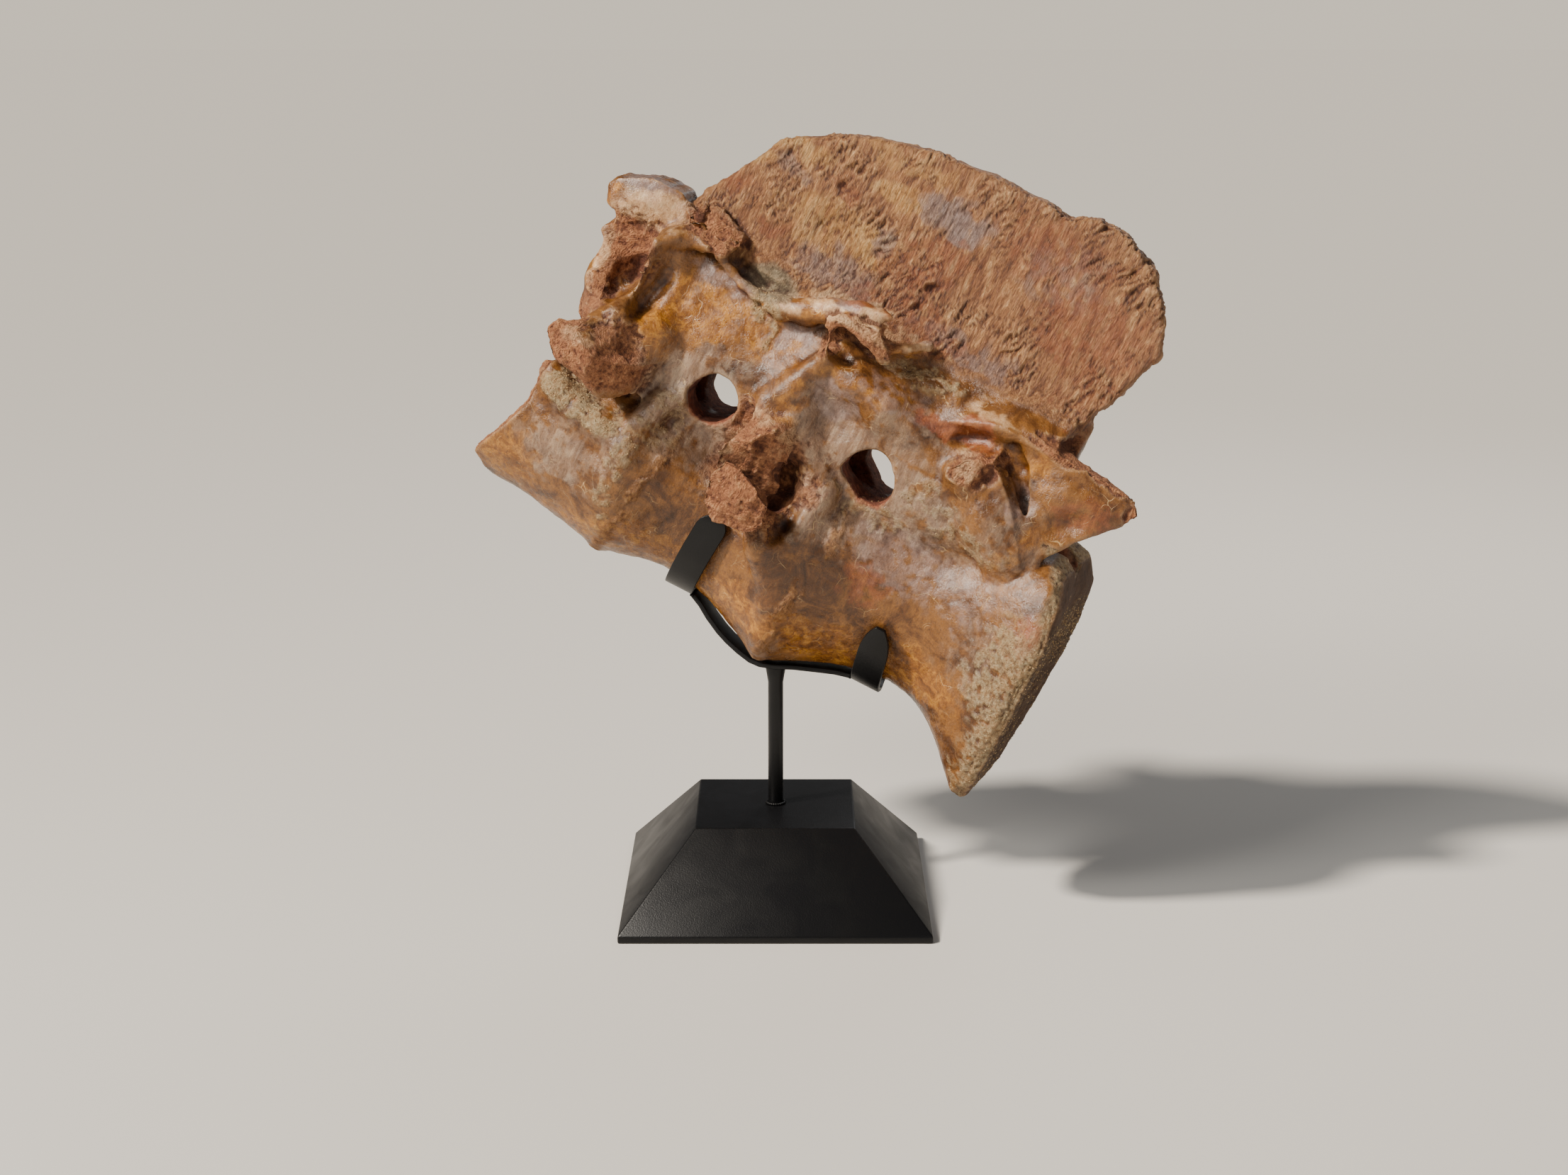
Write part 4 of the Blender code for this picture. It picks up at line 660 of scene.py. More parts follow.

# %% [markdown]
# ## Which bone each cell belongs to
#
# The clay is one lump, but the fossil is many bones, and each bone of the imported model needs its own piece.
# A label on each solid cell says which bone it is in.  The borders follow the sutures.

# %% Borders of the fifteen bones
SUTURE_HEIGHT = 0.194
SUTURES = ((-0.167, -0.120), (0.000, 0.023))
SPINE_SUTURES = ((-0.2055, -0.2055), (0.010, 0.020))
CENTRUM_TOP = 0.165
SPINE_FOOT = 0.303
SPINE_REACH = 0.030
ROWS = ("centrum", "neural_arch", "neural_spine")
COLUMNS = ("fragment", "front", "rear")
SIDE_BONES = {
    "rib_stump_front": ((-0.258, -0.163), (0.160, 0.2395), 0.056),
    "rib_stump_middle": ((-0.110, -0.018), (0.110, 0.222), 0.059),
    "zygapophysis": ((0.1520, 0.300), (0.2140, 0.300), 0.020),
}
BONES = [row + "_" + column for row in ROWS for column in COLUMNS]
BONES += [name + "_" + word for name in SIDE_BONES for word in ("near", "far")]
print("bones:", BONES)


# %% A label on every solid cell
def behind(suture):
    """Where x is behind a leaning suture."""
    low, high = suture
    return ALL_X > low + (high - low) * ALL_Z / SUTURE_HEIGHT


row = (ALL_Z > CENTRUM_TOP).astype(np.int8) + ((ALL_Z > SPINE_FOOT) & (np.abs(ALL_Y) < SPINE_REACH))
column = sum(behind(suture).astype(np.int8) for suture in SUTURES)
spine_column = sum(behind(suture).astype(np.int8) for suture in SPINE_SUTURES)
labels = (1 + 3 * row + np.where(row == 2, spine_column, column)).astype(np.int8)
for number, name in enumerate(BONES[9:], 10):
    (x_low, x_high), (z_low, z_high), inner = SIDE_BONES[name.rsplit("_", 1)[0]]
    side = NEAR if name.endswith("near") else FAR
    out = side * ALL_Y / (1.0 if side == NEAR else FAR_SCALE)
    labels[(ALL_X > x_low) & (ALL_X < x_high) & (ALL_Z > z_low) & (ALL_Z < z_high) & (out > inner)] = number
labels[clay >= 0] = 0
print("cells in each bone:", dict(zip(BONES, np.bincount(labels.ravel())[1:].tolist())))

# %% [markdown]
# ## From clay to a mesh
#
# Surface nets put one point in each grid cell that a border crosses, at the middle of its
# crossings, and join the points of neighbouring cells with quads.  Blender's remesh could do
# something like it, but here the quads between two labels come out too.  So each bone is closed,
# and two neighbours share the very same points along their border.

# %% Surface nets with labels
CORNERS = [np.array([k & 1, k >> 1 & 1, k >> 2 & 1]) for k in range(8)]


def surface_net(values, marks):
    """Points in cells; quads; and the two labels that each quad lies between, lower first."""
    size = np.array(marks.shape) - 1
    first_mark = marks[:size[0], :size[1], :size[2]]
    mixed = np.zeros(size, bool)
    for i, j, k in CORNERS[1:]:
        mixed |= marks[i:i + size[0], j:j + size[1], k:k + size[2]] != first_mark
    cells = np.argwhere(mixed)
    level = [values[tuple((cells + corner).T)] for corner in CORNERS]
    total, hits = np.zeros((len(cells), 3)), np.zeros(len(cells))
    for first in range(8):
        for bit in (1, 2, 4):
            second = first | bit
            if second == first:
                continue
            a, b = level[first], level[second]
            crossing = (a < 0) != (b < 0)
            share = np.where(crossing, a / np.where(crossing, a - b, 1), 0)
            spot = CORNERS[first] + share[:, None] * (CORNERS[second] - CORNERS[first])
            total += spot * crossing[:, None]
            hits += crossing
    middle = np.where(hits[:, None] > 0, total / np.maximum(hits, 1)[:, None], 0.5)
    index = np.full(size, -1, np.int32)
    index[tuple(cells.T)] = np.arange(len(cells))
    quads, pairs = [], []
    for axis in range(3):
        u, v = [(1, 2), (2, 0), (0, 1)][axis]
        here = [slice(1, -1)] * 3
        ahead = [slice(1, -1)] * 3
        ahead[axis] = slice(2, None)
        one, two = marks[tuple(here)], marks[tuple(ahead)]
        at = np.argwhere(one != two)
        one, two = one[tuple(at.T)], two[tuple(at.T)]
        at += 1
        step_u, step_v = np.eye(3, dtype=int)[u], np.eye(3, dtype=int)[v]
        ring = [at - step_u - step_v, at - step_v, at, at - step_u]
        quad = np.stack([index[tuple(place.T)] for place in ring], 1)
        flip = one < two
        quad[flip] = quad[flip][:, ::-1]
        quads.append(quad)
        pairs.append(np.stack([np.minimum(one, two), np.maximum(one, two)], 1))
    return cells + middle, np.concatenate(quads), np.concatenate(pairs)


net_points, quads, pairs = surface_net(clay, labels)
points = net_points * PITCH + np.array([axis[0] for axis in axes])
on_skin = pairs[:, 0] == 0
print("points:", len(points), "skin quads:", int(on_skin.sum()), "inner quads:", int((~on_skin).sum()))

# %% [markdown]
# Two things are tidied.  Sealed bubbles and crumbs are dropped, by following the quads from one
# point to the next.  The skin is then relaxed a little, because the grid leaves faint steps in it.

# %% Following the quads
def keep_largest(count, faces):
    """Which points belong to the largest connected shell."""
    group = np.arange(count)
    edges = np.concatenate([faces[:, [0, 1]], faces[:, [1, 2]], faces[:, [2, 3]]])
    for _ in range(200):
        lowest = np.minimum(group[edges[:, 0]], group[edges[:, 1]])
        new = group.copy()
        np.minimum.at(new, edges[:, 0], lowest)
        np.minimum.at(new, edges[:, 1], lowest)
        new = new[new]
        new = new[new]
        if np.array_equal(new, group):
            break
        group = new
    sizes = np.bincount(group, minlength=count)
    return group == sizes.argmax()


def spread(values, faces, count):
    """Each point's mean of its neighbours along the quads' edges."""
    ends = np.concatenate([faces.ravel(), np.roll(faces, -1, 1).ravel()])
    others = np.concatenate([np.roll(faces, -1, 1).ravel(), faces.ravel()])
    weight = np.maximum(np.bincount(ends, minlength=count), 1)
    return np.stack([np.bincount(ends, values[others, k], count) / weight for k in range(values.shape[1])], 1)


# %% Largest shell, relaxed
skin = quads[on_skin]
kept = keep_largest(len(points), skin)
skin_kept = kept[skin[:, 0]]
skin_points = np.zeros(len(points), bool)
skin_points[skin[skin_kept].ravel()] = True
for _ in range(2):
    smooth = spread(points, skin, len(points))
    points = np.where(skin_points[:, None], points + 0.5 * (smooth - points), points)


def skin_normals(points):
    """Unit normals of the skin, from the quads round each point."""
    a, b, c, d = (points[skin[:, k]] for k in range(4))
    face = np.cross(c - a, d - b)
    normals = np.stack([np.bincount(skin.ravel(), np.repeat(face[:, k], 4), len(points))
                        for k in range(3)], 1)
    return normals / np.maximum(np.linalg.norm(normals, axis=1), 1e-12)[:, None]


normals = skin_normals(points)
print("skin points kept:", int(skin_points.sum()))

# %% [markdown]
# ## Where each kind of surface shows
#
# A fossil's surface tells its story: smooth outer bone, spongy inner bone where it broke, rock
# that still clings in the hollows, and stains from iron.  Each kind is a mask on the points.  The
# masks are ovals in the side view, at named places, with edges made ragged by noise.

# %% Ragged ovals
at = points[skin_points]
facing = normals[skin_points]
out = np.abs(at[:, 1]) / np.where(at[:, 1] > 0, FAR_SCALE, 1.0)


def ovals(places, seed, ragged=0.010, fray=0.45):
    """Ragged ovals from (x, z, reach in x, reach in z, strength): 0 outside, up to 1 inside."""
    shake = np.stack([layered_noise(at, 0.022, 3, seed + 20 * k) for k in range(2)], 1) * ragged
    total = np.zeros(len(at))
    for x, z, reach_x, reach_z, strength in places:
        far = np.hypot((at[:, 0] + shake[:, 0] - x) / reach_x, (at[:, 2] + shake[:, 1] - z) / reach_z)
        total = np.maximum(total, strength * step_up(-far, -1.35, -0.55))
    grain = layered_noise(at, 0.008, 3, seed + 60)
    return total * step_up(total + fray * grain, 0.20, 0.60)


# %% Sutures and bores
def near_suture(suture, seed):
    """How close a point of the centra is to a suture, in metres."""
    low, high = suture
    wander = 0.007 * layered_noise(at, 0.030, 3, seed)
    return np.abs(at[:, 0] - low - (high - low) * at[:, 2] / SUTURE_HEIGHT + wander)


def hole_depth(spots):
    """How far points are inside the bores of the canal and the foramina, in metres."""
    canal_height = np.interp(spots[:, 0], [p[0] for p in CANAL], [p[2] for p in CANAL])
    depth = 0.0185 - np.hypot(spots[:, 1], spots[:, 2] - canal_height)
    for outline in (FORAMEN_FRONT, FORAMEN_REAR):
        inside = 0.0022 - outline_distance(outline, spots[:, 0], spots[:, 2])
        depth = np.maximum(depth, np.minimum(inside, 0.046 - np.abs(spots[:, 1])))
    return depth


# %% Places where bone broke, crust clings or rock stayed, and pale patches that are partly painted highlight: (x, z, reach in x, reach in z, strength)
BROKEN = [
    (-0.222, 0.186, 0.034, 0.028, 1.0), (-0.238, 0.198, 0.020, 0.020, 1.0),
    (-0.196, 0.192, 0.026, 0.026, 1.0), (-0.204, 0.216, 0.020, 0.014, 0.7),
    (-0.060, 0.150, 0.040, 0.042, 1.0), (-0.066, 0.186, 0.038, 0.030, 1.0),
    (-0.030, 0.300, 0.030, 0.016, 1.0), (-0.053, 0.286, 0.008, 0.020, 0.9),
    (0.092, 0.242, 0.020, 0.014, 1.0), (0.108, 0.250, 0.012, 0.016, 0.7),
    (0.224, 0.262, 0.012, 0.018, 1.0), (-0.234, 0.272, 0.032, 0.030, 1.0),
    (-0.174, 0.317, 0.028, 0.014, 1.0), (-0.244, 0.232, 0.016, 0.024, 0.8),
    (-0.098, 0.387, 0.011, 0.008, 0.9), (-0.020, 0.166, 0.022, 0.016, 0.7),
    (0.150, 0.284, 0.030, 0.009, 1.0), (0.196, 0.280, 0.032, 0.009, 1.0),
]
# Pale patches: pale bone on the front fragment, and painted highlight along the bars, the ledge and the
# crests.
PALE_AND_PAINTED_HIGHLIGHT = [
    (-0.254, 0.258, 0.007, 0.028, 0.8), (-0.238, 0.296, 0.024, 0.008, 1.0),
    (-0.030, 0.314, 0.014, 0.006, 1.0), (-0.024, 0.304, 0.022, 0.008, 0.7),
    (-0.088, 0.168, 0.008, 0.020, 0.6), (-0.074, 0.206, 0.014, 0.008, 0.6),
    (0.089, 0.243, 0.014, 0.010, 0.7), (-0.228, 0.208, 0.018, 0.008, 0.6), (-0.046, 0.200, 0.012, 0.020, 0.5),
    (-0.100, 0.290, 0.018, 0.006, 1.0), (-0.060, 0.304, 0.026, 0.008, 1.0), (0.012, 0.306, 0.014, 0.004, 0.8),
    (-0.226, 0.311, 0.030, 0.012, 1.0), (0.088, 0.284, 0.024, 0.005, 0.8),
]
CRUST = [
    (-0.231, 0.153, 0.026, 0.012, 0.8), (-0.200, 0.141, 0.028, 0.010, 0.8),
    (-0.166, 0.110, 0.010, 0.060, 0.5), (0.182, 0.110, 0.024, 0.050, 0.7),
    (0.202, 0.060, 0.024, 0.080, 0.7), (0.214, 0.128, 0.018, 0.040, 0.9),
    (0.036, 0.170, 0.034, 0.014, 0.45), (0.068, 0.205, 0.030, 0.012, 0.45),
    (0.110, 0.186, 0.040, 0.010, 0.45), (-0.146, 0.165, 0.018, 0.030, 0.45),
    (0.010, 0.284, 0.024, 0.007, 0.6), (0.040, 0.291, 0.030, 0.006, 0.6),
    (-0.112, 0.284, 0.012, 0.012, 0.9), (-0.100, 0.270, 0.006, 0.022, 0.6),
]
MATRIX = [(-0.118, 0.298, 0.024, 0.012, 1.0)]
print("places of breaks and crust:", len(BROKEN + PALE_AND_PAINTED_HIGHLIGHT + CRUST + MATRIX))

# %% Places of each colour of the bone
FILM = [
    (-0.140, 0.190, 0.050, 0.040, 0.9), (-0.100, 0.160, 0.044, 0.036, 0.9),
    (-0.224, 0.098, 0.036, 0.030, 0.8), (-0.196, 0.120, 0.050, 0.030, 0.5),
    (-0.112, 0.228, 0.030, 0.016, 0.5),
    (0.010, 0.160, 0.050, 0.030, 0.9), (0.060, 0.195, 0.050, 0.026, 0.9),
    (0.110, 0.170, 0.040, 0.030, 0.5), (0.160, 0.110, 0.030, 0.050, 0.4),
    (-0.020, 0.215, 0.040, 0.034, 0.8), (0.030, 0.235, 0.040, 0.020, 0.6),
    (0.140, 0.200, 0.030, 0.040, 0.5),
]
MAUVE = [
    (0.078, 0.145, 0.050, 0.030, 0.6), (0.130, 0.140, 0.034, 0.030, 0.4),
    (-0.010, 0.405, 0.030, 0.020, 1.0), (-0.045, 0.365, 0.012, 0.012, 0.8),
    (-0.076, 0.325, 0.040, 0.016, 0.7), (-0.138, 0.385, 0.016, 0.012, 0.6),
    (0.090, 0.400, 0.040, 0.030, 0.5), (0.041, 0.317, 0.050, 0.012, 0.7),
    (-0.032, 0.240, 0.024, 0.018, 0.7), (0.020, 0.262, 0.050, 0.010, 0.5),
    (-0.150, 0.285, 0.030, 0.012, 0.6), (-0.082, 0.268, 0.016, 0.008, 0.8),
    (-0.240, 0.322, 0.030, 0.010, 0.9), (0.140, 0.236, 0.012, 0.020, 0.6),
]
GOLD = [
    (-0.256, 0.072, 0.034, 0.026, 0.8), (-0.191, 0.045, 0.050, 0.014, 0.9),
    (-0.130, 0.054, 0.050, 0.024, 0.8), (-0.045, 0.045, 0.060, 0.022, 1.0),
    (0.040, 0.052, 0.050, 0.024, 0.9), (0.120, 0.062, 0.050, 0.026, 0.9),
    (-0.180, 0.240, 0.016, 0.040, 0.9), (-0.150, 0.262, 0.036, 0.012, 0.6),
    (-0.118, 0.276, 0.026, 0.008, 0.9), (-0.062, 0.302, 0.040, 0.010, 0.9),
    (-0.254, 0.262, 0.012, 0.040, 0.9), (0.140, 0.262, 0.016, 0.012, 0.9),
    (-0.266, 0.304, 0.008, 0.014, 1.0), (-0.240, 0.298, 0.030, 0.010, 0.8),
    (0.150, 0.180, 0.014, 0.040, 0.5), (-0.058, 0.226, 0.010, 0.030, 0.7),
    (-0.010, 0.262, 0.040, 0.008, 0.7), (0.000, 0.300, 0.020, 0.008, 0.9),
    (-0.150, 0.254, 0.034, 0.024, 1.0), (-0.100, 0.262, 0.040, 0.018, 0.8),
]
OCHRE = [
    (-0.058, 0.356, 0.024, 0.014, 1.0), (-0.178, 0.384, 0.024, 0.010, 0.8),
    (-0.138, 0.400, 0.030, 0.010, 0.9), (-0.054, 0.400, 0.034, 0.010, 0.9),
    (-0.100, 0.360, 0.050, 0.020, 0.7), (-0.060, 0.430, 0.050, 0.012, 0.6),
    (-0.095, 0.340, 0.030, 0.012, 0.6),
]
RUST = [
    (0.082, 0.262, 0.024, 0.012, 1.0), (0.186, 0.244, 0.030, 0.018, 0.6), (-0.226, 0.276, 0.014, 0.010, 0.7),
    (-0.024, 0.350, 0.034, 0.018, 0.8), (0.000, 0.374, 0.030, 0.012, 0.7),
    (-0.024, 0.322, 0.050, 0.014, 0.7), (0.082, 0.412, 0.060, 0.030, 0.6),
    (0.126, 0.372, 0.050, 0.040, 0.7), (0.016, 0.314, 0.030, 0.012, 0.7),
    (-0.139, 0.339, 0.020, 0.008, 0.7), (-0.180, 0.354, 0.014, 0.020, 0.6),
    (0.057, 0.114, 0.024, 0.018, 0.6), (0.195, 0.148, 0.016, 0.020, 0.8),
    (0.060, 0.260, 0.026, 0.008, 0.9), (0.150, 0.330, 0.030, 0.040, 0.5),
    (-0.100, 0.387, 0.016, 0.012, 0.7),
]
print("places of colour:", len(FILM + MAUVE + GOLD + OCHRE + RUST))

# %% [markdown]
# Some kinds follow the form instead: the broken front end, the rear face and its rim, the plate,
# the sutures and the insides of the holes.  Each is a distance, eased from 0 to 1.

# %% Masks from the form
broken = ovals(BROKEN, 11, 0.007) * step_up(out, 0.008, 0.016)
front_edge = np.interp(at[:, 2], BREAK_HEIGHTS, BREAK_FRONTS) + 0.10 * np.abs(at[:, 1])
front_break = step_up(front_edge - at[:, 0], -0.004, -0.001) * (at[:, 2] < 0.185)
# The rear end face is broken spongy bone; its dark colour is painted shade.
rear_face_painted_shade = step_up(facing[:, 0], 0.75, 0.92) * step_up(at[:, 0], 0.180, 0.188) * (at[:, 2] < 0.215)
broken = np.maximum(broken, front_break)
rear_rim = np.interp(at[:, 2], RIM_HEIGHTS, RIM_BACKS) + END_FACE_TURN * at[:, 1]
rim_wander = 0.005 * layered_noise(at, 0.016, 3, 75)
rim_band = step_up(-np.abs(at[:, 0] + 0.004 - rear_rim + rim_wander), -0.010, -0.003) * (at[:, 2] < 0.215)
rim_band = rim_band * step_up(-facing[:, 0], -0.90, -0.65)
plate_share = step_up(at[:, 2] + 0.006 * layered_noise(at, 0.03, 2, 71), 0.290, 0.312)
plate_share = plate_share * step_up(0.032 - out, 0.0, 0.008) * step_up(at[:, 0], -0.215, -0.195)
suture_near = np.minimum(near_suture(SUTURES[0], 91), near_suture(SUTURES[1], 92))
suture_band = step_up(0.195 - at[:, 2], 0.0, 0.02) * step_up(0.007 - suture_near, 0.0, 0.006)
suture_band = suture_band * step_up(layered_noise(at, 0.014, 3, 93), -0.35, 0.25)
matrix = ovals(MATRIX, 37, 0.003, 0.2) * step_up(out, 0.0145, 0.0165)
bore = step_up(hole_depth(at) + 0.0010 * layered_noise(at, 0.010, 2, 301), 0.0, 0.002)
grit = ovals(CRUST, 13, 0.010, 0.9)

# %% All the masks
masks = {
    "film": ovals(FILM, 29, 0.020, 0.7), "gold": ovals(GOLD, 19, 0.012, 0.7), "plate": plate_share,
    "ochre": ovals(OCHRE, 31, 0.010, 0.7) * plate_share, "mauve": ovals(MAUVE, 17, 0.012, 0.6),
    "rust": ovals(RUST, 23, 0.012, 0.7), "suture": suture_band, "broken": broken,
    "crust": np.maximum(grit, 0.75 * rim_band), "grit": grit, "matrix": matrix, "bore": bore,
    "pale": ovals(PALE_AND_PAINTED_HIGHLIGHT, 41, 0.006, 0.6), "face": rear_face_painted_shade,
}
print("mean of each mask:", {name: round(float(mask.mean()), 3) for name, mask in masks.items()})

# %% [markdown]
# ## Relief
#
# Moving each point along its normal by a millimetre or so turns clay into bone.  Grown bone on the
# spines has long coarse fibres.  Broken bone has the scallops that stone breaks in and the pits of
# its sponge.  Rock left by the preparator is granular.  Finer grain is left to the bump.

# %% Fibres and scallops
FIBRE_LEAN = math.radians(68.0)


def fibres(points, width, length, seed):
    """Wavy ridges that lean up and back, with ends that fray."""
    sway = 0.55 * layered_noise(points, 0.045, 3, seed + 40)
    along = points[:, 0] * math.cos(FIBRE_LEAN) + points[:, 2] * math.sin(FIBRE_LEAN)
    across = points[:, 2] * math.cos(FIBRE_LEAN) - points[:, 0] * math.sin(FIBRE_LEAN) + 0.015 * sway
    grid = np.stack([along / length, across / width, points[:, 1] / (2 * width)], 1)
    return np.abs(lattice_noise(grid, seed)) * -2 + 0.6 + 0.8 * lattice_noise(grid * 2.1, seed + 1)


def scallops(points, size, seed, tilt=0.0):
    """Hollows with sharp rims, a size apart: 0 at their middles, about 1 at the rims."""
    grid = points / size
    cell = np.floor(grid).astype(np.int64)
    nearest = np.full(len(points), 9.0)
    for corner in range(27):
        step = np.array([corner % 3, corner // 3 % 3, corner // 9]) - 1
        spot = cell + step
        jitter = scramble(spot, seed * 97531) / 1023
        gap = grid - spot - jitter
        far = np.sum(gap ** 2 + 2 * tilt * gap * (jitter - 0.5), axis=1)
        nearest = np.minimum(nearest, far)
    return nearest


print("fibres lean", round(math.degrees(FIBRE_LEAN)), "degrees")


# %% Room beside the steel
ROOM_CHECKED = 0.006


def steel_room(spots):
    """How far points are from the steel that holds the bone, up to ROOM_CHECKED."""
    room = np.full(len(spots), ROOM_CHECKED)
    for tree, low, high in steel.values():
        close = np.all((spots > low - ROOM_CHECKED) & (spots < high + ROOM_CHECKED), axis=1)
        for row in np.flatnonzero(close):
            hit = tree.find_nearest(spots[row], ROOM_CHECKED)
            if hit[0] is not None:
                room[row] = min(room[row], hit[3])
    return room


room = steel_room(at)
print("points beside the steel:", int((room < ROOM_CHECKED).sum()))

# %% Relief of each kind of surface
DEEPEST, PROUDEST = -0.0038, 0.0028
STEEL_GAP = 0.0004
relief = 0.0010 * layered_noise(at, 0.040, 4, 201) + 0.00045 * layered_noise(at, 0.009, 3, 205)
patchy = np.clip(0.50 + 1.5 * layered_noise(at, 0.036, 3, 209), 0.12, 1.0)
weave = 0.0013 * fibres(at, 0.0030, 0.022, 211) + 0.0014 * fibres(at, 0.0085, 0.050, 221)
weave += 0.0008 * layered_noise(at, 0.0050, 2, 215)
relief += plate_share * patchy * weave * (1 - matrix)
rough = np.maximum(broken, 0.6 * rim_band)
rows = np.flatnonzero(rough > 0.02)
chips = 0.0048 * (scallops(at[rows], 0.0230, 231, 1.2) - 0.30)
chips += 0.0022 * (scallops(at[rows], 0.0095, 241, 1.0) - 0.30)
chips += 0.0007 * layered_noise(at[rows], 0.0040, 2, 245)
relief[rows] += rough[rows] * chips
crusty = np.maximum(masks["crust"], 0.7 * suture_band)
rows = np.flatnonzero(crusty > 0.02)
relief[rows] += crusty[rows] * 0.0013 * (0.75 - scallops(at[rows], 0.0038, 251))
relief += suture_band * 0.0009 * np.abs(layered_noise(at, 0.012, 3, 261))
relief += matrix * (0.0008 * layered_noise(at, 0.010, 2, 271))
relief = np.clip(relief, DEEPEST, PROUDEST)
relief = np.minimum(relief, np.maximum(room - STEEL_GAP, 0.0))
points[skin_points] += facing * relief[:, None]
normals = skin_normals(points)
print("relief from %.2f to %.2f mm" % (relief.min() * 1000, relief.max() * 1000))

# %% Faces between bones
# They stay at least INNER_DEPTH under the skin, or they would show in its dips.
INNER_DEPTH = 0.0055
inner = np.flatnonzero(~skin_points)
cell = np.rint((points[inner] - np.array([axis[0] for axis in axes])) / PITCH).astype(int)
cell = np.clip(cell, 1, np.array(clay.shape) - 2)
slope = np.stack([clay[tuple((cell + way).T)] - clay[tuple((cell - way).T)]
                  for way in np.eye(3, dtype=int)], 1)
slope /= np.maximum(np.linalg.norm(slope, axis=1), 1e-9)[:, None]
sunk = np.clip(INNER_DEPTH + clay[tuple(cell.T)], 0.0, INNER_DEPTH)
points[inner] -= slope * sunk[:, None]
print("points pushed under the skin:", int((sunk > 0).sum()))


# %% Hollows, ridges and dull parts
def dip(times):
    """How deep each point lies below the mean of its surroundings."""
    level = points
    for _ in range(times):
        level = spread(level, skin, len(points))
    return ((level - points)[skin_points] * normals[skin_points]).sum(axis=1)


# Painted shade darkens the hollows and handling wears the ridges, at both scales.
near_dip, wide_dip = dip(2), dip(12)
masks["hollow"] = np.clip(near_dip / 0.00032 + (wide_dip - 0.0003) / 0.0024, 0.0, 1.0)
masks["ridge"] = np.clip(-near_dip / 0.00060 - (wide_dip + 0.0020) / 0.0080, 0.0, 1.0)
dull_parts = [broken, crusty, bore, matrix, rear_face_painted_shade, 0.50 * plate_share]
masks["dull"] = np.clip(np.maximum.reduce(dull_parts), 0.0, 1.0)
print("means:", {name: round(float(masks[name].mean()), 3) for name in ("hollow", "ridge", "dull")})

# %% [markdown]
# ## One piece for each bone
#
# Every bone gets the quads that border its label.  Their shared points lie in the same places, and
# the normals come from the whole skin, so no seam shows between pieces although each is a closed
# mesh of its own.

# %% A mesh from arrays
world_points = to_world(points)
world_normals = normals @ BONE_AXES.T


def mesh_piece(name, coordinates, faces, corner_normals, values):
    """An object from points and quads, with its own normals and point attributes."""
    mesh = bpy.data.meshes.new(name)
    mesh.vertices.add(len(coordinates))
    mesh.vertices.foreach_set("co", coordinates.astype(np.float32).ravel())
    mesh.loops.add(faces.size)
    mesh.loops.foreach_set("vertex_index", faces.astype(np.int32).ravel())
    mesh.polygons.add(len(faces))
    mesh.polygons.foreach_set("loop_start", np.arange(0, faces.size, 4, dtype=np.int32))
    mesh.update(calc_edges=True)
    mesh.shade_smooth()
    mesh.normals_split_custom_set(corner_normals)
    for mask, numbers in values.items():
        mesh.attributes.new(mask, "FLOAT", "POINT").data.foreach_set("value", numbers)
    return placed(name, mesh)


# %% The fifteen bones
whole_masks = {}
for name, values in masks.items():
    whole_masks[name] = np.zeros(len(points), np.float32)
    whole_masks[name][skin_points] = values

bone_pieces = {}
for number, name in enumerate(BONES, 1):
    mine = (pairs == number).any(axis=1) & np.where(on_skin, kept[quads[:, 0]], True)
    faces = quads[mine].copy()
    turned = ~on_skin[mine] & (pairs[mine][:, 0] == number)
    faces[turned] = faces[turned][:, ::-1]
    corner_normals = np.where(np.repeat(on_skin[mine], 4)[:, None], world_normals[faces.ravel()], 0.0)
    used, local = np.unique(faces, return_inverse=True)
    bone_pieces[name] = mesh_piece("bone_" + name, world_points[used], local.reshape(faces.shape),
                                   corner_normals, {m: v[used] for m, v in whole_masks.items()})
    print(name, "triangles:", 2 * len(faces))
print("all triangles:", sum(2 * len(piece.data.polygons) for piece in bone_pieces.values()))

# %% [markdown]
# ## Materials
#
# One small function adds a node, sets it, links it and hands back an output.  Colours are written
# as the hex values a painter would pick on screen and turned to linear light.

# %% Helpers for materials
MM = 0.001


def linear(code):
    """An sRGB hex colour as linear light."""
    values = [int(code[k:k + 2], 16) / 255 for k in (1, 3, 5)]
    return (*(v / 12.92 if v <= 0.04045 else ((v + 0.055) / 1.055) ** 2.4 for v in values), 1.0)


def new_material(name):
    """A material, its node tree and its shader."""
    made = bpy.data.materials.new(name)
    made.use_nodes = True
    return made, made.node_tree, made.node_tree.nodes["Principled BSDF"]


def add_node(tree, kind, inputs=None, out=0, stops=(), **settings):
    """Add a node: settings by name, inputs by name or place, a ramp's stops; return one output."""
    made = tree.nodes.new(kind)
    for key, value in settings.items():
        setattr(made, key, value)
    for key, value in (inputs or {}).items():
        if isinstance(value, bpy.types.NodeSocket):
            tree.links.new(value, made.inputs[key])
        else:
            made.inputs[key].default_value = value
    for number, (position, code) in enumerate(stops):
        ramp = made.color_ramp.elements
        element = ramp[number] if number < 2 else ramp.new(position)
        element.position, element.color = position, linear(code)
    return made.outputs[out]


print("white is", linear("#FFFFFF"))

# %% [markdown]
# ### Mineralised bone
#
# Over seventy million years, minerals filled the bone's pores.  What was cream became orange,
# brown and mauve from iron, and the dense outer layer polished to a soft gloss.  Broken sponge
# stays dull, and so does the cream rock in the hollows.  Each layer is a noise between a few
# colours, and the masks lay one over the other.

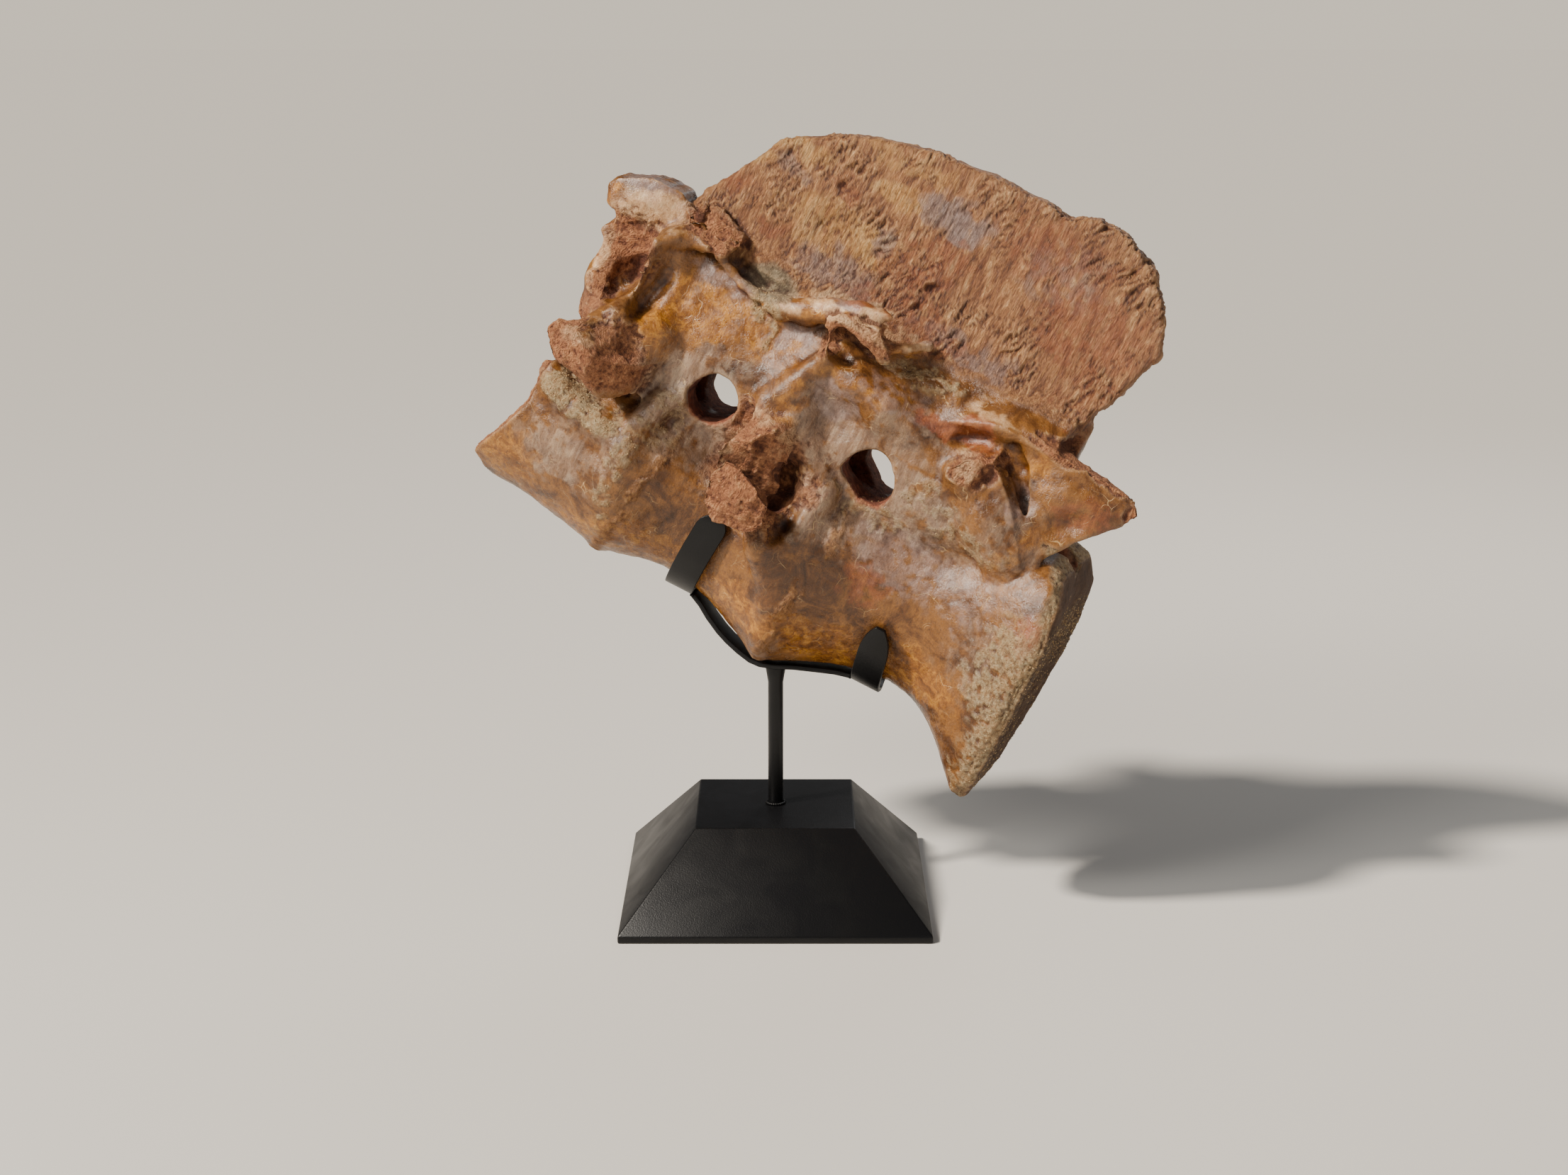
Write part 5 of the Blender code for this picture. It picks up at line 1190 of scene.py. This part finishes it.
# %% Mineralised bone: colour
bone, tree, shader = new_material("mineralised_fossil_bone")
coordinates = add_node(tree, "ShaderNodeTexCoord", out="Object")
place = add_node(tree, "ShaderNodeMapping", {"Vector": coordinates, "Location": BONE_ORIGIN,
                 "Rotation": (0.0, BONE_LEAN, BONE_TURN)}, vector_type="TEXTURE")
fibre_place = add_node(tree, "ShaderNodeMapping", {
    "Vector": place, "Rotation": (0.0, FIBRE_LEAN - math.pi / 2, 0.0), "Scale": (1.0, 1.0, 0.22)})

# Mask, its strength, lump size in mm, coordinates, distortion, and the layer's colours along its
# noise, the two ends first.
LAYERS = [
    (None, 1.0, 34, place, 0.9, [(0.30, "#2E1A0C"), (0.74, "#5E3D24"), (0.44, "#5C3818"), (0.56, "#805426")]),
    ("film", 0.76, 9, fibre_place, 0.9,
     [(0.30, "#54402F"), (0.74, "#8A7460"), (0.48, "#8A7260"), (0.62, "#AE9880")]),
    ("gold", 0.95, 12, place, 0.9,
     [(0.30, "#4E2C10"), (0.78, "#6A4018"), (0.48, "#86521A"), (0.62, "#B87E30")]),
    ("plate", 0.95, 7, fibre_place, 0.9,
     [(0.30, "#4A2812"), (0.70, "#DEB480"), (0.43, "#80502F"), (0.57, "#B07C4E")]),
    ("ochre", 0.75, 5, fibre_place, 0.6, [(0.30, "#84501E"), (0.72, "#E8C488"), (0.48, "#BE8A48")]),
    ("mauve", 0.85, 9, place, 0.6, [(0.30, "#66504A"), (0.74, "#B09C96"), (0.50, "#8A746C")]),
    ("rust", 0.75, 6, fibre_place, 0.6, [(0.30, "#662C16"), (0.76, "#B8724A"), (0.52, "#8C4826")]),
    ("suture", 0.70, 4, place, 0.4, [(0.30, "#5E3A1C"), (0.74, "#BC9158"), (0.50, "#8A5A2C")]),
    ("broken", 1.00, 7, place, 0.8,
     [(0.28, "#6E3F25"), (0.78, "#CC9C70"), (0.46, "#925B38"), (0.62, "#B0764C")]),
    # The pale layer is partly painted highlight on the bars, the ledge and the crests.
    ("pale", 0.75, 6, place, 0.5, [(0.30, "#A87E56"), (0.74, "#ECD0A4"), (0.50, "#CCA47A")]),
    ("crust", 0.85, 4, place, 0.3,
     [(0.30, "#7A5C3C"), (0.74, "#D8C6A0"), (0.44, "#9A7E56"), (0.58, "#B8A680")]),
    # The rear face layer's dark browns are painted shade over broken bone.
    ("face", 0.85, 12, place, 0.6, [(0.30, "#2C1A10"), (0.74, "#6A4A30"), (0.50, "#452C1C")]),
    ("matrix", 1.00, 8, place, 0.6, [(0.30, "#564634"), (0.74, "#A8987A"), (0.50, "#7C6C54")]),
    ("bore", 1.00, 6, place, 0.3, [(0.30, "#5A2C1C"), (0.74, "#B07050"), (0.50, "#84482E")]),
]
share = {name: add_node(tree, "ShaderNodeAttribute", out="Fac", attribute_name=name) for name in masks}
colour = None
for name, strength, lump, where, warp, stops in LAYERS:
    lumps = add_node(tree, "ShaderNodeTexNoise", {"Vector": where, "Scale": 1 / (lump * MM), "Detail": 7.0,
                     "Roughness": 0.72, "Distortion": warp})
    tint = add_node(tree, "ShaderNodeValToRGB", {"Fac": lumps}, stops=stops)
    if colour is None:
        colour = tint
        continue
    cover = add_node(tree, "ShaderNodeMath", {0: share[name], 1: strength}, operation="MULTIPLY")
    colour = add_node(tree, "ShaderNodeMix", {0: cover, 6: colour, 7: tint}, out=2, data_type="RGBA")
print("colour layers:", len(LAYERS))

# %% [markdown]
# Fine cracks in the smooth bone filled with pale mineral, so they show as veins.  The edges of
# Voronoi cells give such a net, bent by a slow noise and faded out in places.  Over them come
# specks of iron, painted shade in the hollows and a rubbed, paler skin on the ridges.

# %% Mineralised bone: veins, specks, painted shade in the hollows and wear
wander = add_node(tree, "ShaderNodeTexNoise", {"Vector": place, "Scale": 1 / (24 * MM), "Detail": 2.0},
                  out="Color")
warped = add_node(tree, "ShaderNodeVectorMath", {0: wander, 1: (30 * MM,) * 3, 2: place},
                  operation="MULTIPLY_ADD")
crack = add_node(tree, "ShaderNodeTexVoronoi", {"Vector": warped, "Scale": 1 / (24 * MM)},
                 feature="DISTANCE_TO_EDGE")
line = add_node(tree, "ShaderNodeMapRange", {0: crack, 1: 0.003, 2: 0.012, 3: 1.0, 4: 0.0})
fading = add_node(tree, "ShaderNodeTexNoise", {"Vector": place, "Scale": 1 / (17 * MM), "Detail": 3.0})
fading = add_node(tree, "ShaderNodeMapRange", {0: fading, 1: 0.52, 2: 0.66, 4: 0.50})
vein = add_node(tree, "ShaderNodeMath", {0: line, 1: fading}, operation="MULTIPLY")
smooth_bone = add_node(tree, "ShaderNodeMapRange", {0: share["dull"], 1: 0.30, 2: 0.0})
vein = add_node(tree, "ShaderNodeMath", {0: vein, 1: smooth_bone}, operation="MULTIPLY")
colour = add_node(tree, "ShaderNodeMix", {0: vein, 6: colour, 7: linear("#DDBB86")}, out=2, data_type="RGBA")
fine = add_node(tree, "ShaderNodeTexNoise", {"Vector": fibre_place, "Scale": 1 / (1.3 * MM), "Detail": 5.0,
                "Roughness": 0.75})
fine = add_node(tree, "ShaderNodeMapRange", {0: fine, 1: 0.3, 2: 0.7, 3: 0.72, 4: 1.24})
colour = add_node(tree, "ShaderNodeHueSaturation", {"Color": colour, "Value": fine})
speck = add_node(tree, "ShaderNodeTexNoise", {"Vector": place, "Scale": 1 / (1.6 * MM), "Detail": 3.0})
speck = add_node(tree, "ShaderNodeMapRange", {0: speck, 1: 0.60, 2: 0.72, 4: 0.55})
colour = add_node(tree, "ShaderNodeMix", {0: speck, 6: colour, 7: linear("#3A2214")}, out=2, data_type="RGBA")
# Painted shade: the colour is multiplied darker in the hollows.
painted_hollow_shade = add_node(tree, "ShaderNodeMath", {0: share["hollow"], 1: 0.80}, operation="MULTIPLY")
colour = add_node(tree, "ShaderNodeMix", {0: painted_hollow_shade, 6: colour, 7: linear("#7A4A30")}, out=2,
                  data_type="RGBA", blend_type="MULTIPLY")
worn = add_node(tree, "ShaderNodeMath", {0: share["ridge"], 1: 0.34}, operation="MULTIPLY")
colour = add_node(tree, "ShaderNodeMix", {0: worn, 6: colour, 7: linear("#D8AC7C")}, out=2, data_type="RGBA")
tree.links.new(colour, shader.inputs["Base Color"])
print("nodes so far:", len(tree.nodes))

# %% [markdown]
# The dense outer skin has a soft gloss that breaks up a little, and breaks and crust are dull.  The
# relief finer than the clay's grid is bump: grain, the threads of the plate, and pits of sponge.

# %% Mineralised bone: gloss and fine relief
grain = add_node(tree, "ShaderNodeTexNoise", {"Vector": place, "Scale": 1 / (1.8 * MM), "Detail": 6.0,
                 "Roughness": 0.65})
threads = add_node(tree, "ShaderNodeTexNoise", {"Vector": fibre_place, "Scale": 1 / (2.2 * MM), "Detail": 7.0,
                   "Roughness": 0.66, "Distortion": 0.5})
patina = add_node(tree, "ShaderNodeTexNoise", {"Vector": place, "Scale": 1 / (11 * MM), "Detail": 5.0})
polish = add_node(tree, "ShaderNodeMapRange", {0: patina, 1: 0.3, 2: 0.7, 3: 0.18, 4: 0.42})
gloss = add_node(tree, "ShaderNodeMix", {0: share["dull"], 2: polish, 3: 0.86}, data_type="FLOAT")
tree.links.new(gloss, shader.inputs["Roughness"])
shader.inputs["IOR"].default_value = 1.54
calm = add_node(tree, "ShaderNodeMapRange", {0: share["dull"], 3: 0.20, 4: 1.0})
height = add_node(tree, "ShaderNodeMath", {0: grain, 1: calm}, operation="MULTIPLY")
threads = add_node(tree, "ShaderNodeMath", {0: threads, 1: 2.0}, operation="MULTIPLY")
height = add_node(tree, "ShaderNodeMix", {0: share["plate"], 2: height, 3: threads}, data_type="FLOAT")
pits = add_node(tree, "ShaderNodeTexVoronoi", {"Vector": warped, "Scale": 1 / (2.4 * MM)})
pits = add_node(tree, "ShaderNodeMath", {0: pits, 1: share["broken"]}, operation="MULTIPLY")
height = add_node(tree, "ShaderNodeMath", {0: pits, 1: 0.55, 2: height}, operation="MULTIPLY_ADD")
height = add_node(tree, "ShaderNodeMath", {0: vein, 1: -0.08, 2: height}, operation="MULTIPLY_ADD")
bump = add_node(tree, "ShaderNodeBump", {"Height": height, "Strength": 1.0, "Distance": 2.6 * MM})
tree.links.new(bump, shader.inputs["Normal"])
print("nodes of the bone:", len(tree.nodes))

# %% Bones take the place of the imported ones
for name, piece in bone_pieces.items():
    piece.data.materials.append(bone)
    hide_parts(name)
    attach(piece, "root")
print("bone pieces are finished")

# %% [markdown]
# ### Grains of rock on the bone
#
# The preparator left sand grains of the old rock where it held on.  A geometry node group scatters
# them: it drops points where the grit mask is strong, puts a small rough ball on each, turns and
# stretches it, and makes all of it real.  The group runs once and leaves a plain mesh behind.

# %% Helpers for node groups
def input_socket(group, name, kind, value):
    """A named input of a node group, with its value."""
    socket = group.interface.new_socket(name, in_out="INPUT", socket_type=kind)
    if value is not None:
        socket.default_value = value
    return socket.identifier


def grow(name, mesh, group, settings):
    """The mesh that a node group makes from a base mesh; the modifier goes once it has run."""
    item = placed(name, mesh)
    modifier = item.modifiers.new("growth", "NODES")
    modifier.node_group = group
    for identifier, value in settings.items():
        modifier[identifier] = value
    grown = bpy.data.meshes.new_from_object(item.evaluated_get(bpy.context.evaluated_depsgraph_get()))
    item.modifiers.remove(modifier)
    item.data = grown
    grown.name = name
    print(name, "triangles:", sum(len(face.vertices) - 2 for face in grown.polygons))
    return item


# %% Sandstone: dry, dull, from straw to brown
sandstone, tree, shader = new_material("clinging_sandstone_grains")
place = add_node(tree, "ShaderNodeTexCoord", out="Object")
tone = add_node(tree, "ShaderNodeTexNoise", {"Vector": place, "Scale": 1 / (6 * MM), "Detail": 4.0})
tone = add_node(tree, "ShaderNodeValToRGB", {"Fac": tone}, stops=[(0.35, "#7A5E3E"), (0.66, "#B89E74")])
tree.links.new(tone, shader.inputs["Base Color"])
shader.inputs["Roughness"].default_value = 0.9

# %% Scatter group
scatter = bpy.data.node_groups.new("scatter_grains", "GeometryNodeTree")
scatter.interface.new_socket("Skin", in_out="INPUT", socket_type="NodeSocketGeometry")
density_id = input_socket(scatter, "Grains per square metre", "NodeSocketFloat", 1.0)
size_id = input_socket(scatter, "Grain radius", "NodeSocketFloat", 0.001)
seed_id = input_socket(scatter, "Seed", "NodeSocketInt", 1)
scatter.interface.new_socket("Grains", in_out="OUTPUT", socket_type="NodeSocketGeometry")
given = scatter.nodes.new("NodeGroupInput").outputs
grit = add_node(scatter, "GeometryNodeInputNamedAttribute", {"Name": "grit"}, data_type="FLOAT")
held = add_node(scatter, "ShaderNodeMath", {0: grit, 1: 2.0}, operation="POWER")
density = add_node(scatter, "ShaderNodeMath", {0: held, 1: given["Grains per square metre"]},
                   operation="MULTIPLY")
spots = add_node(scatter, "GeometryNodeDistributePointsOnFaces",
                 {"Mesh": given["Skin"], "Density": density, "Seed": given["Seed"]})
ball = add_node(scatter, "GeometryNodeMeshIcoSphere", {"Radius": given["Grain radius"], "Subdivisions": 1})
turned = add_node(scatter, "FunctionNodeRandomValue", {1: (6.3, 6.3, 6.3), "Seed": given["Seed"]},
                  data_type="FLOAT_VECTOR")
stretch = add_node(scatter, "FunctionNodeRandomValue", {0: (0.4, 0.4, 0.3), 1: (1.3, 1.1, 0.8),
                   "Seed": given["Seed"]}, data_type="FLOAT_VECTOR")
grains = add_node(scatter, "GeometryNodeInstanceOnPoints",
                  {"Points": spots, "Instance": ball, "Rotation": turned, "Scale": stretch})
grains = add_node(scatter, "GeometryNodeRealizeInstances", {"Geometry": grains})
grains = add_node(scatter, "GeometryNodeSetMaterial", {"Geometry": grains, "Material": sandstone})
scatter.links.new(grains, scatter.nodes.new("NodeGroupOutput").inputs[0])
print("nodes that scatter:", len(scatter.nodes))

# %% Grains on the skin
ground_faces = skin[skin_kept]
used, local = np.unique(ground_faces, return_inverse=True)
ground = mesh_piece("grain_ground", world_points[used], local.reshape(ground_faces.shape),
                    world_normals[ground_faces.ravel()], {"grit": whole_masks["grit"][used]})
grain_item = grow("rock_grains", ground.data, scatter, {density_id: 90000.0, size_id: 0.9 * MM, seed_id: 5})
bpy.data.objects.remove(ground)
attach(grain_item, "root")

# %% [markdown]
# ### Black powder coat
#
# The stand is steel with baked powder paint: satin, with a grain like orange peel, and worn
# shinier where hands have touched it.

# %% Powder coat
coat, tree, shader = new_material("satin_black_powder_coat")
place = add_node(tree, "ShaderNodeTexCoord", out="Object")
peel = add_node(tree, "ShaderNodeTexNoise", {"Vector": place, "Scale": 1 / (1.1 * MM), "Detail": 3.0})
handled = add_node(tree, "ShaderNodeTexNoise", {"Vector": place, "Scale": 1 / (38 * MM), "Detail": 5.0,
                   "Distortion": 1.2})
black = add_node(tree, "ShaderNodeValToRGB", {"Fac": handled}, stops=[(0.35, "#060607"), (0.70, "#0C0C0E")])
worn = add_node(tree, "ShaderNodeMapRange", {0: handled, 1: 0.3, 2: 0.7, 3: 0.42, 4: 0.32})
tree.links.new(black, shader.inputs["Base Color"])
tree.links.new(worn, shader.inputs["Roughness"])
shader.inputs["Specular IOR Level"].default_value = 0.30
bump = add_node(tree, "ShaderNodeBump", {"Height": peel, "Strength": 0.5, "Distance": 0.25 * MM})
tree.links.new(bump, shader.inputs["Normal"])
print("nodes of the coat:", len(tree.nodes))

# %% [markdown]
# ## The steel
#
# Flat bar has slightly rounded edges, which catch the light as thin lines.  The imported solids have
# sharp ones, so each gets a copy with its edges eased.

# %% Steel with eased edges
STEEL_EDGE = {"stand_strap": 0.0009, "stand_clip": 0.0009, "stand_cradle": 0.0009, "stand_rod": 0.0004,
              "stand_base": 0.0004}
for name, width in STEEL_EDGE.items():
    shape = packed_shape(name)
    bmesh.ops.dissolve_limit(shape, angle_limit=math.radians(0.5), verts=shape.verts, edges=shape.edges)
    sharp = [edge for edge in shape.edges if edge.is_manifold and edge.calc_face_angle() > math.radians(50)]
    bmesh.ops.bevel(shape, geom=sharp, offset=width, segments=3, profile=0.5, affect="EDGES",
                    clamp_overlap=True)
    mesh = bpy.data.meshes.new("steel_" + name[6:])
    shape.to_mesh(mesh)
    shape.free()
    mesh.shade_smooth()
    mesh.set_sharp_from_angle(angle=math.radians(24))
    mesh.materials.append(coat)
    item = placed(mesh.name, mesh)
    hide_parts(name)
    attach(item, "root")
    print(item.name, "faces:", len(mesh.polygons))

# %% [markdown]
# ### Weld beads
#
# A weld is a row of overlapping puddles.  The node group walks along a path, drops a flattened
# ball at every step and makes them real.  Beads join the rod to the base and to the bar, and the
# strap and the clip to the ends of the bar.

# %% Weld group
weld = bpy.data.node_groups.new("weld_ripples", "GeometryNodeTree")
weld.interface.new_socket("Path", in_out="INPUT", socket_type="NodeSocketGeometry")
spacing_id = input_socket(weld, "Puddle spacing", "NodeSocketFloat", 0.002)
puddle_id = input_socket(weld, "Puddle radius", "NodeSocketFloat", 0.002)
weld.interface.new_socket("Bead", in_out="OUTPUT", socket_type="NodeSocketGeometry")
given = weld.nodes.new("NodeGroupInput").outputs
path = add_node(weld, "GeometryNodeMeshToCurve", {"Mesh": given["Path"]})
path = add_node(weld, "GeometryNodeResampleCurve", {"Curve": path, "Length": given["Puddle spacing"]},
                mode="LENGTH")
puddle = add_node(weld, "GeometryNodeMeshUVSphere",
                  {"Segments": 12, "Rings": 8, "Radius": given["Puddle radius"]})
bead = add_node(weld, "GeometryNodeInstanceOnPoints",
                {"Points": path, "Instance": puddle, "Scale": (1.0, 1.0, 0.8)})
bead = add_node(weld, "GeometryNodeRealizeInstances", {"Geometry": bead})
bead = add_node(weld, "GeometryNodeSetMaterial", {"Geometry": bead, "Material": coat})
weld.links.new(bead, weld.nodes.new("NodeGroupOutput").inputs[0])
print("nodes that weld:", len(weld.nodes))


# %% Weld beads along paths
def ring(radius, height):
    """Points round the rod's axis, the first again at the end."""
    turns = [2 * math.pi * k / 24 for k in range(25)]
    return [(radius * math.cos(turn), radius * math.sin(turn), height) for turn in turns]


PUDDLE_SPACING = 0.0018
rod_low, rod_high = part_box("stand_rod")
WELDS = {
    "weld_rod_foot": (ring(0.0072, rod_low[2] + 0.0005), 0.0016),
    "weld_rod_top": (ring(0.0068, rod_high[2] - 0.0020), 0.0018),
    "weld_strap": ([(-0.0694, 0.0014, 0.2575), (-0.0640, 0.0262, 0.2575)], 0.0019),
    "weld_clip": ([(0.0615, -0.0262, 0.1942), (0.0665, -0.0018, 0.1942)], 0.0014),
}
for name, (spots, radius) in WELDS.items():
    path = bpy.data.meshes.new(name)
    path.from_pydata(spots, [(k, k + 1) for k in range(len(spots) - 1)], [])
    bead_item = grow(name, path, weld, {spacing_id: PUDDLE_SPACING, puddle_id: radius})
    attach(bead_item, "root")

# %% [markdown]
# ## Floor, lights and camera
#
# The studio is a wide floor of pale paper and soft light.  A large sheet that curves up behind is
# the usual way, but it shows its edges when the camera goes round, so the floor is flat and very
# wide, and the sky past its edge is as pale as it is.

# %% Floor
FLOOR_HALF = 30.0
FLOOR_DROP = 0.0002
floor_mesh = bpy.data.meshes.new("studio_floor")
floor_corners = [(FLOOR_HALF * x, FLOOR_HALF * y, -FLOOR_DROP)
                 for x, y in ((-1, -1), (1, -1), (1, 1), (-1, 1))]
floor_mesh.from_pydata(floor_corners, [], [(0, 1, 2, 3)])
paper, tree, shader = new_material("pale_backdrop_paper")
shader.inputs["Base Color"].default_value = linear("#D2CFC9")
shader.inputs["Roughness"].default_value = 0.9
floor_mesh.materials.append(paper)
floor = placed("studio_floor", floor_mesh)
print("floor:", 2 * FLOOR_HALF, "metres wide")

# %% [markdown]
# A low key light from the upper left rakes over the bone, so that its crests and fibres show.  It
# is a sun with a wide angle, which keeps its shadow soft.  A softbox in front gives the smooth bone
# its sheen, and a fill and a rim light keep the shaded side readable.

# %% Lights
MIDDLE = (0.0, 0.0, 0.36)
KEY_WAY = (1.45, 0.75, -1.50)
AREA_LIGHTS = [("fill", (1.7, -1.5, 0.8), 1.4, 4, "#EEF3FF"), ("rim", (0.9, 1.4, 1.5), 0.9, 8, "#FFFFFF"),
               ("softbox", (-1.25, -1.35, 1.55), 0.55, 26, "#FFFAF2")]
for name, light_place, size, power, tint in AREA_LIGHTS:
    lamp = bpy.data.lights.new(name, "AREA")
    lamp.size, lamp.energy, lamp.color = size, power, linear(tint)[:3]
    item = placed(name, lamp)
    item.location = light_place
    item.rotation_euler = (Vector(MIDDLE) - Vector(light_place)).to_track_quat("-Z", "Y").to_euler()
key = bpy.data.lights.new("key", "SUN")
key.energy, key.angle, key.color = 5.8, math.radians(6), linear("#FFF4E6")[:3]
sun = placed("key", key)
sun.rotation_euler = Vector(KEY_WAY).to_track_quat("-Z", "Y").to_euler()
print("lights:", 1 + len(AREA_LIGHTS))

# %% Sky
# It lights the bone faintly, and where the eye sees it, past the floor, it is as pale as the floor.
world = bpy.data.worlds.new("studio")
world.use_nodes = True
tree = world.node_tree
seen = add_node(tree, "ShaderNodeLightPath", out="Is Camera Ray")
glow = add_node(tree, "ShaderNodeBackground", {"Color": linear("#E8E8E8"), "Strength": 0.13})
backdrop = add_node(tree, "ShaderNodeBackground", {"Color": linear("#EEE2D0"), "Strength": 1.0})
sky = add_node(tree, "ShaderNodeMixShader", {0: seen, 1: glow, 2: backdrop})
tree.links.new(sky, tree.nodes["World Output"].inputs["Surface"])
bpy.context.scene.world = world
print("nodes of the sky:", len(tree.nodes))

# %% Camera
CAMERA_PLACE = (0.007, -2.000, 0.747)
CAMERA_TILT = math.radians(76.43)
camera_data = bpy.data.cameras.new("camera")
camera_data.lens, camera_data.sensor_width = 57, 36
camera = placed("camera", camera_data)
camera.location = CAMERA_PLACE
camera.rotation_euler = (CAMERA_TILT, 0.0, 0.0)
bpy.context.scene.camera = camera
print("camera:", camera_data.lens, "mm,", CAMERA_PLACE)
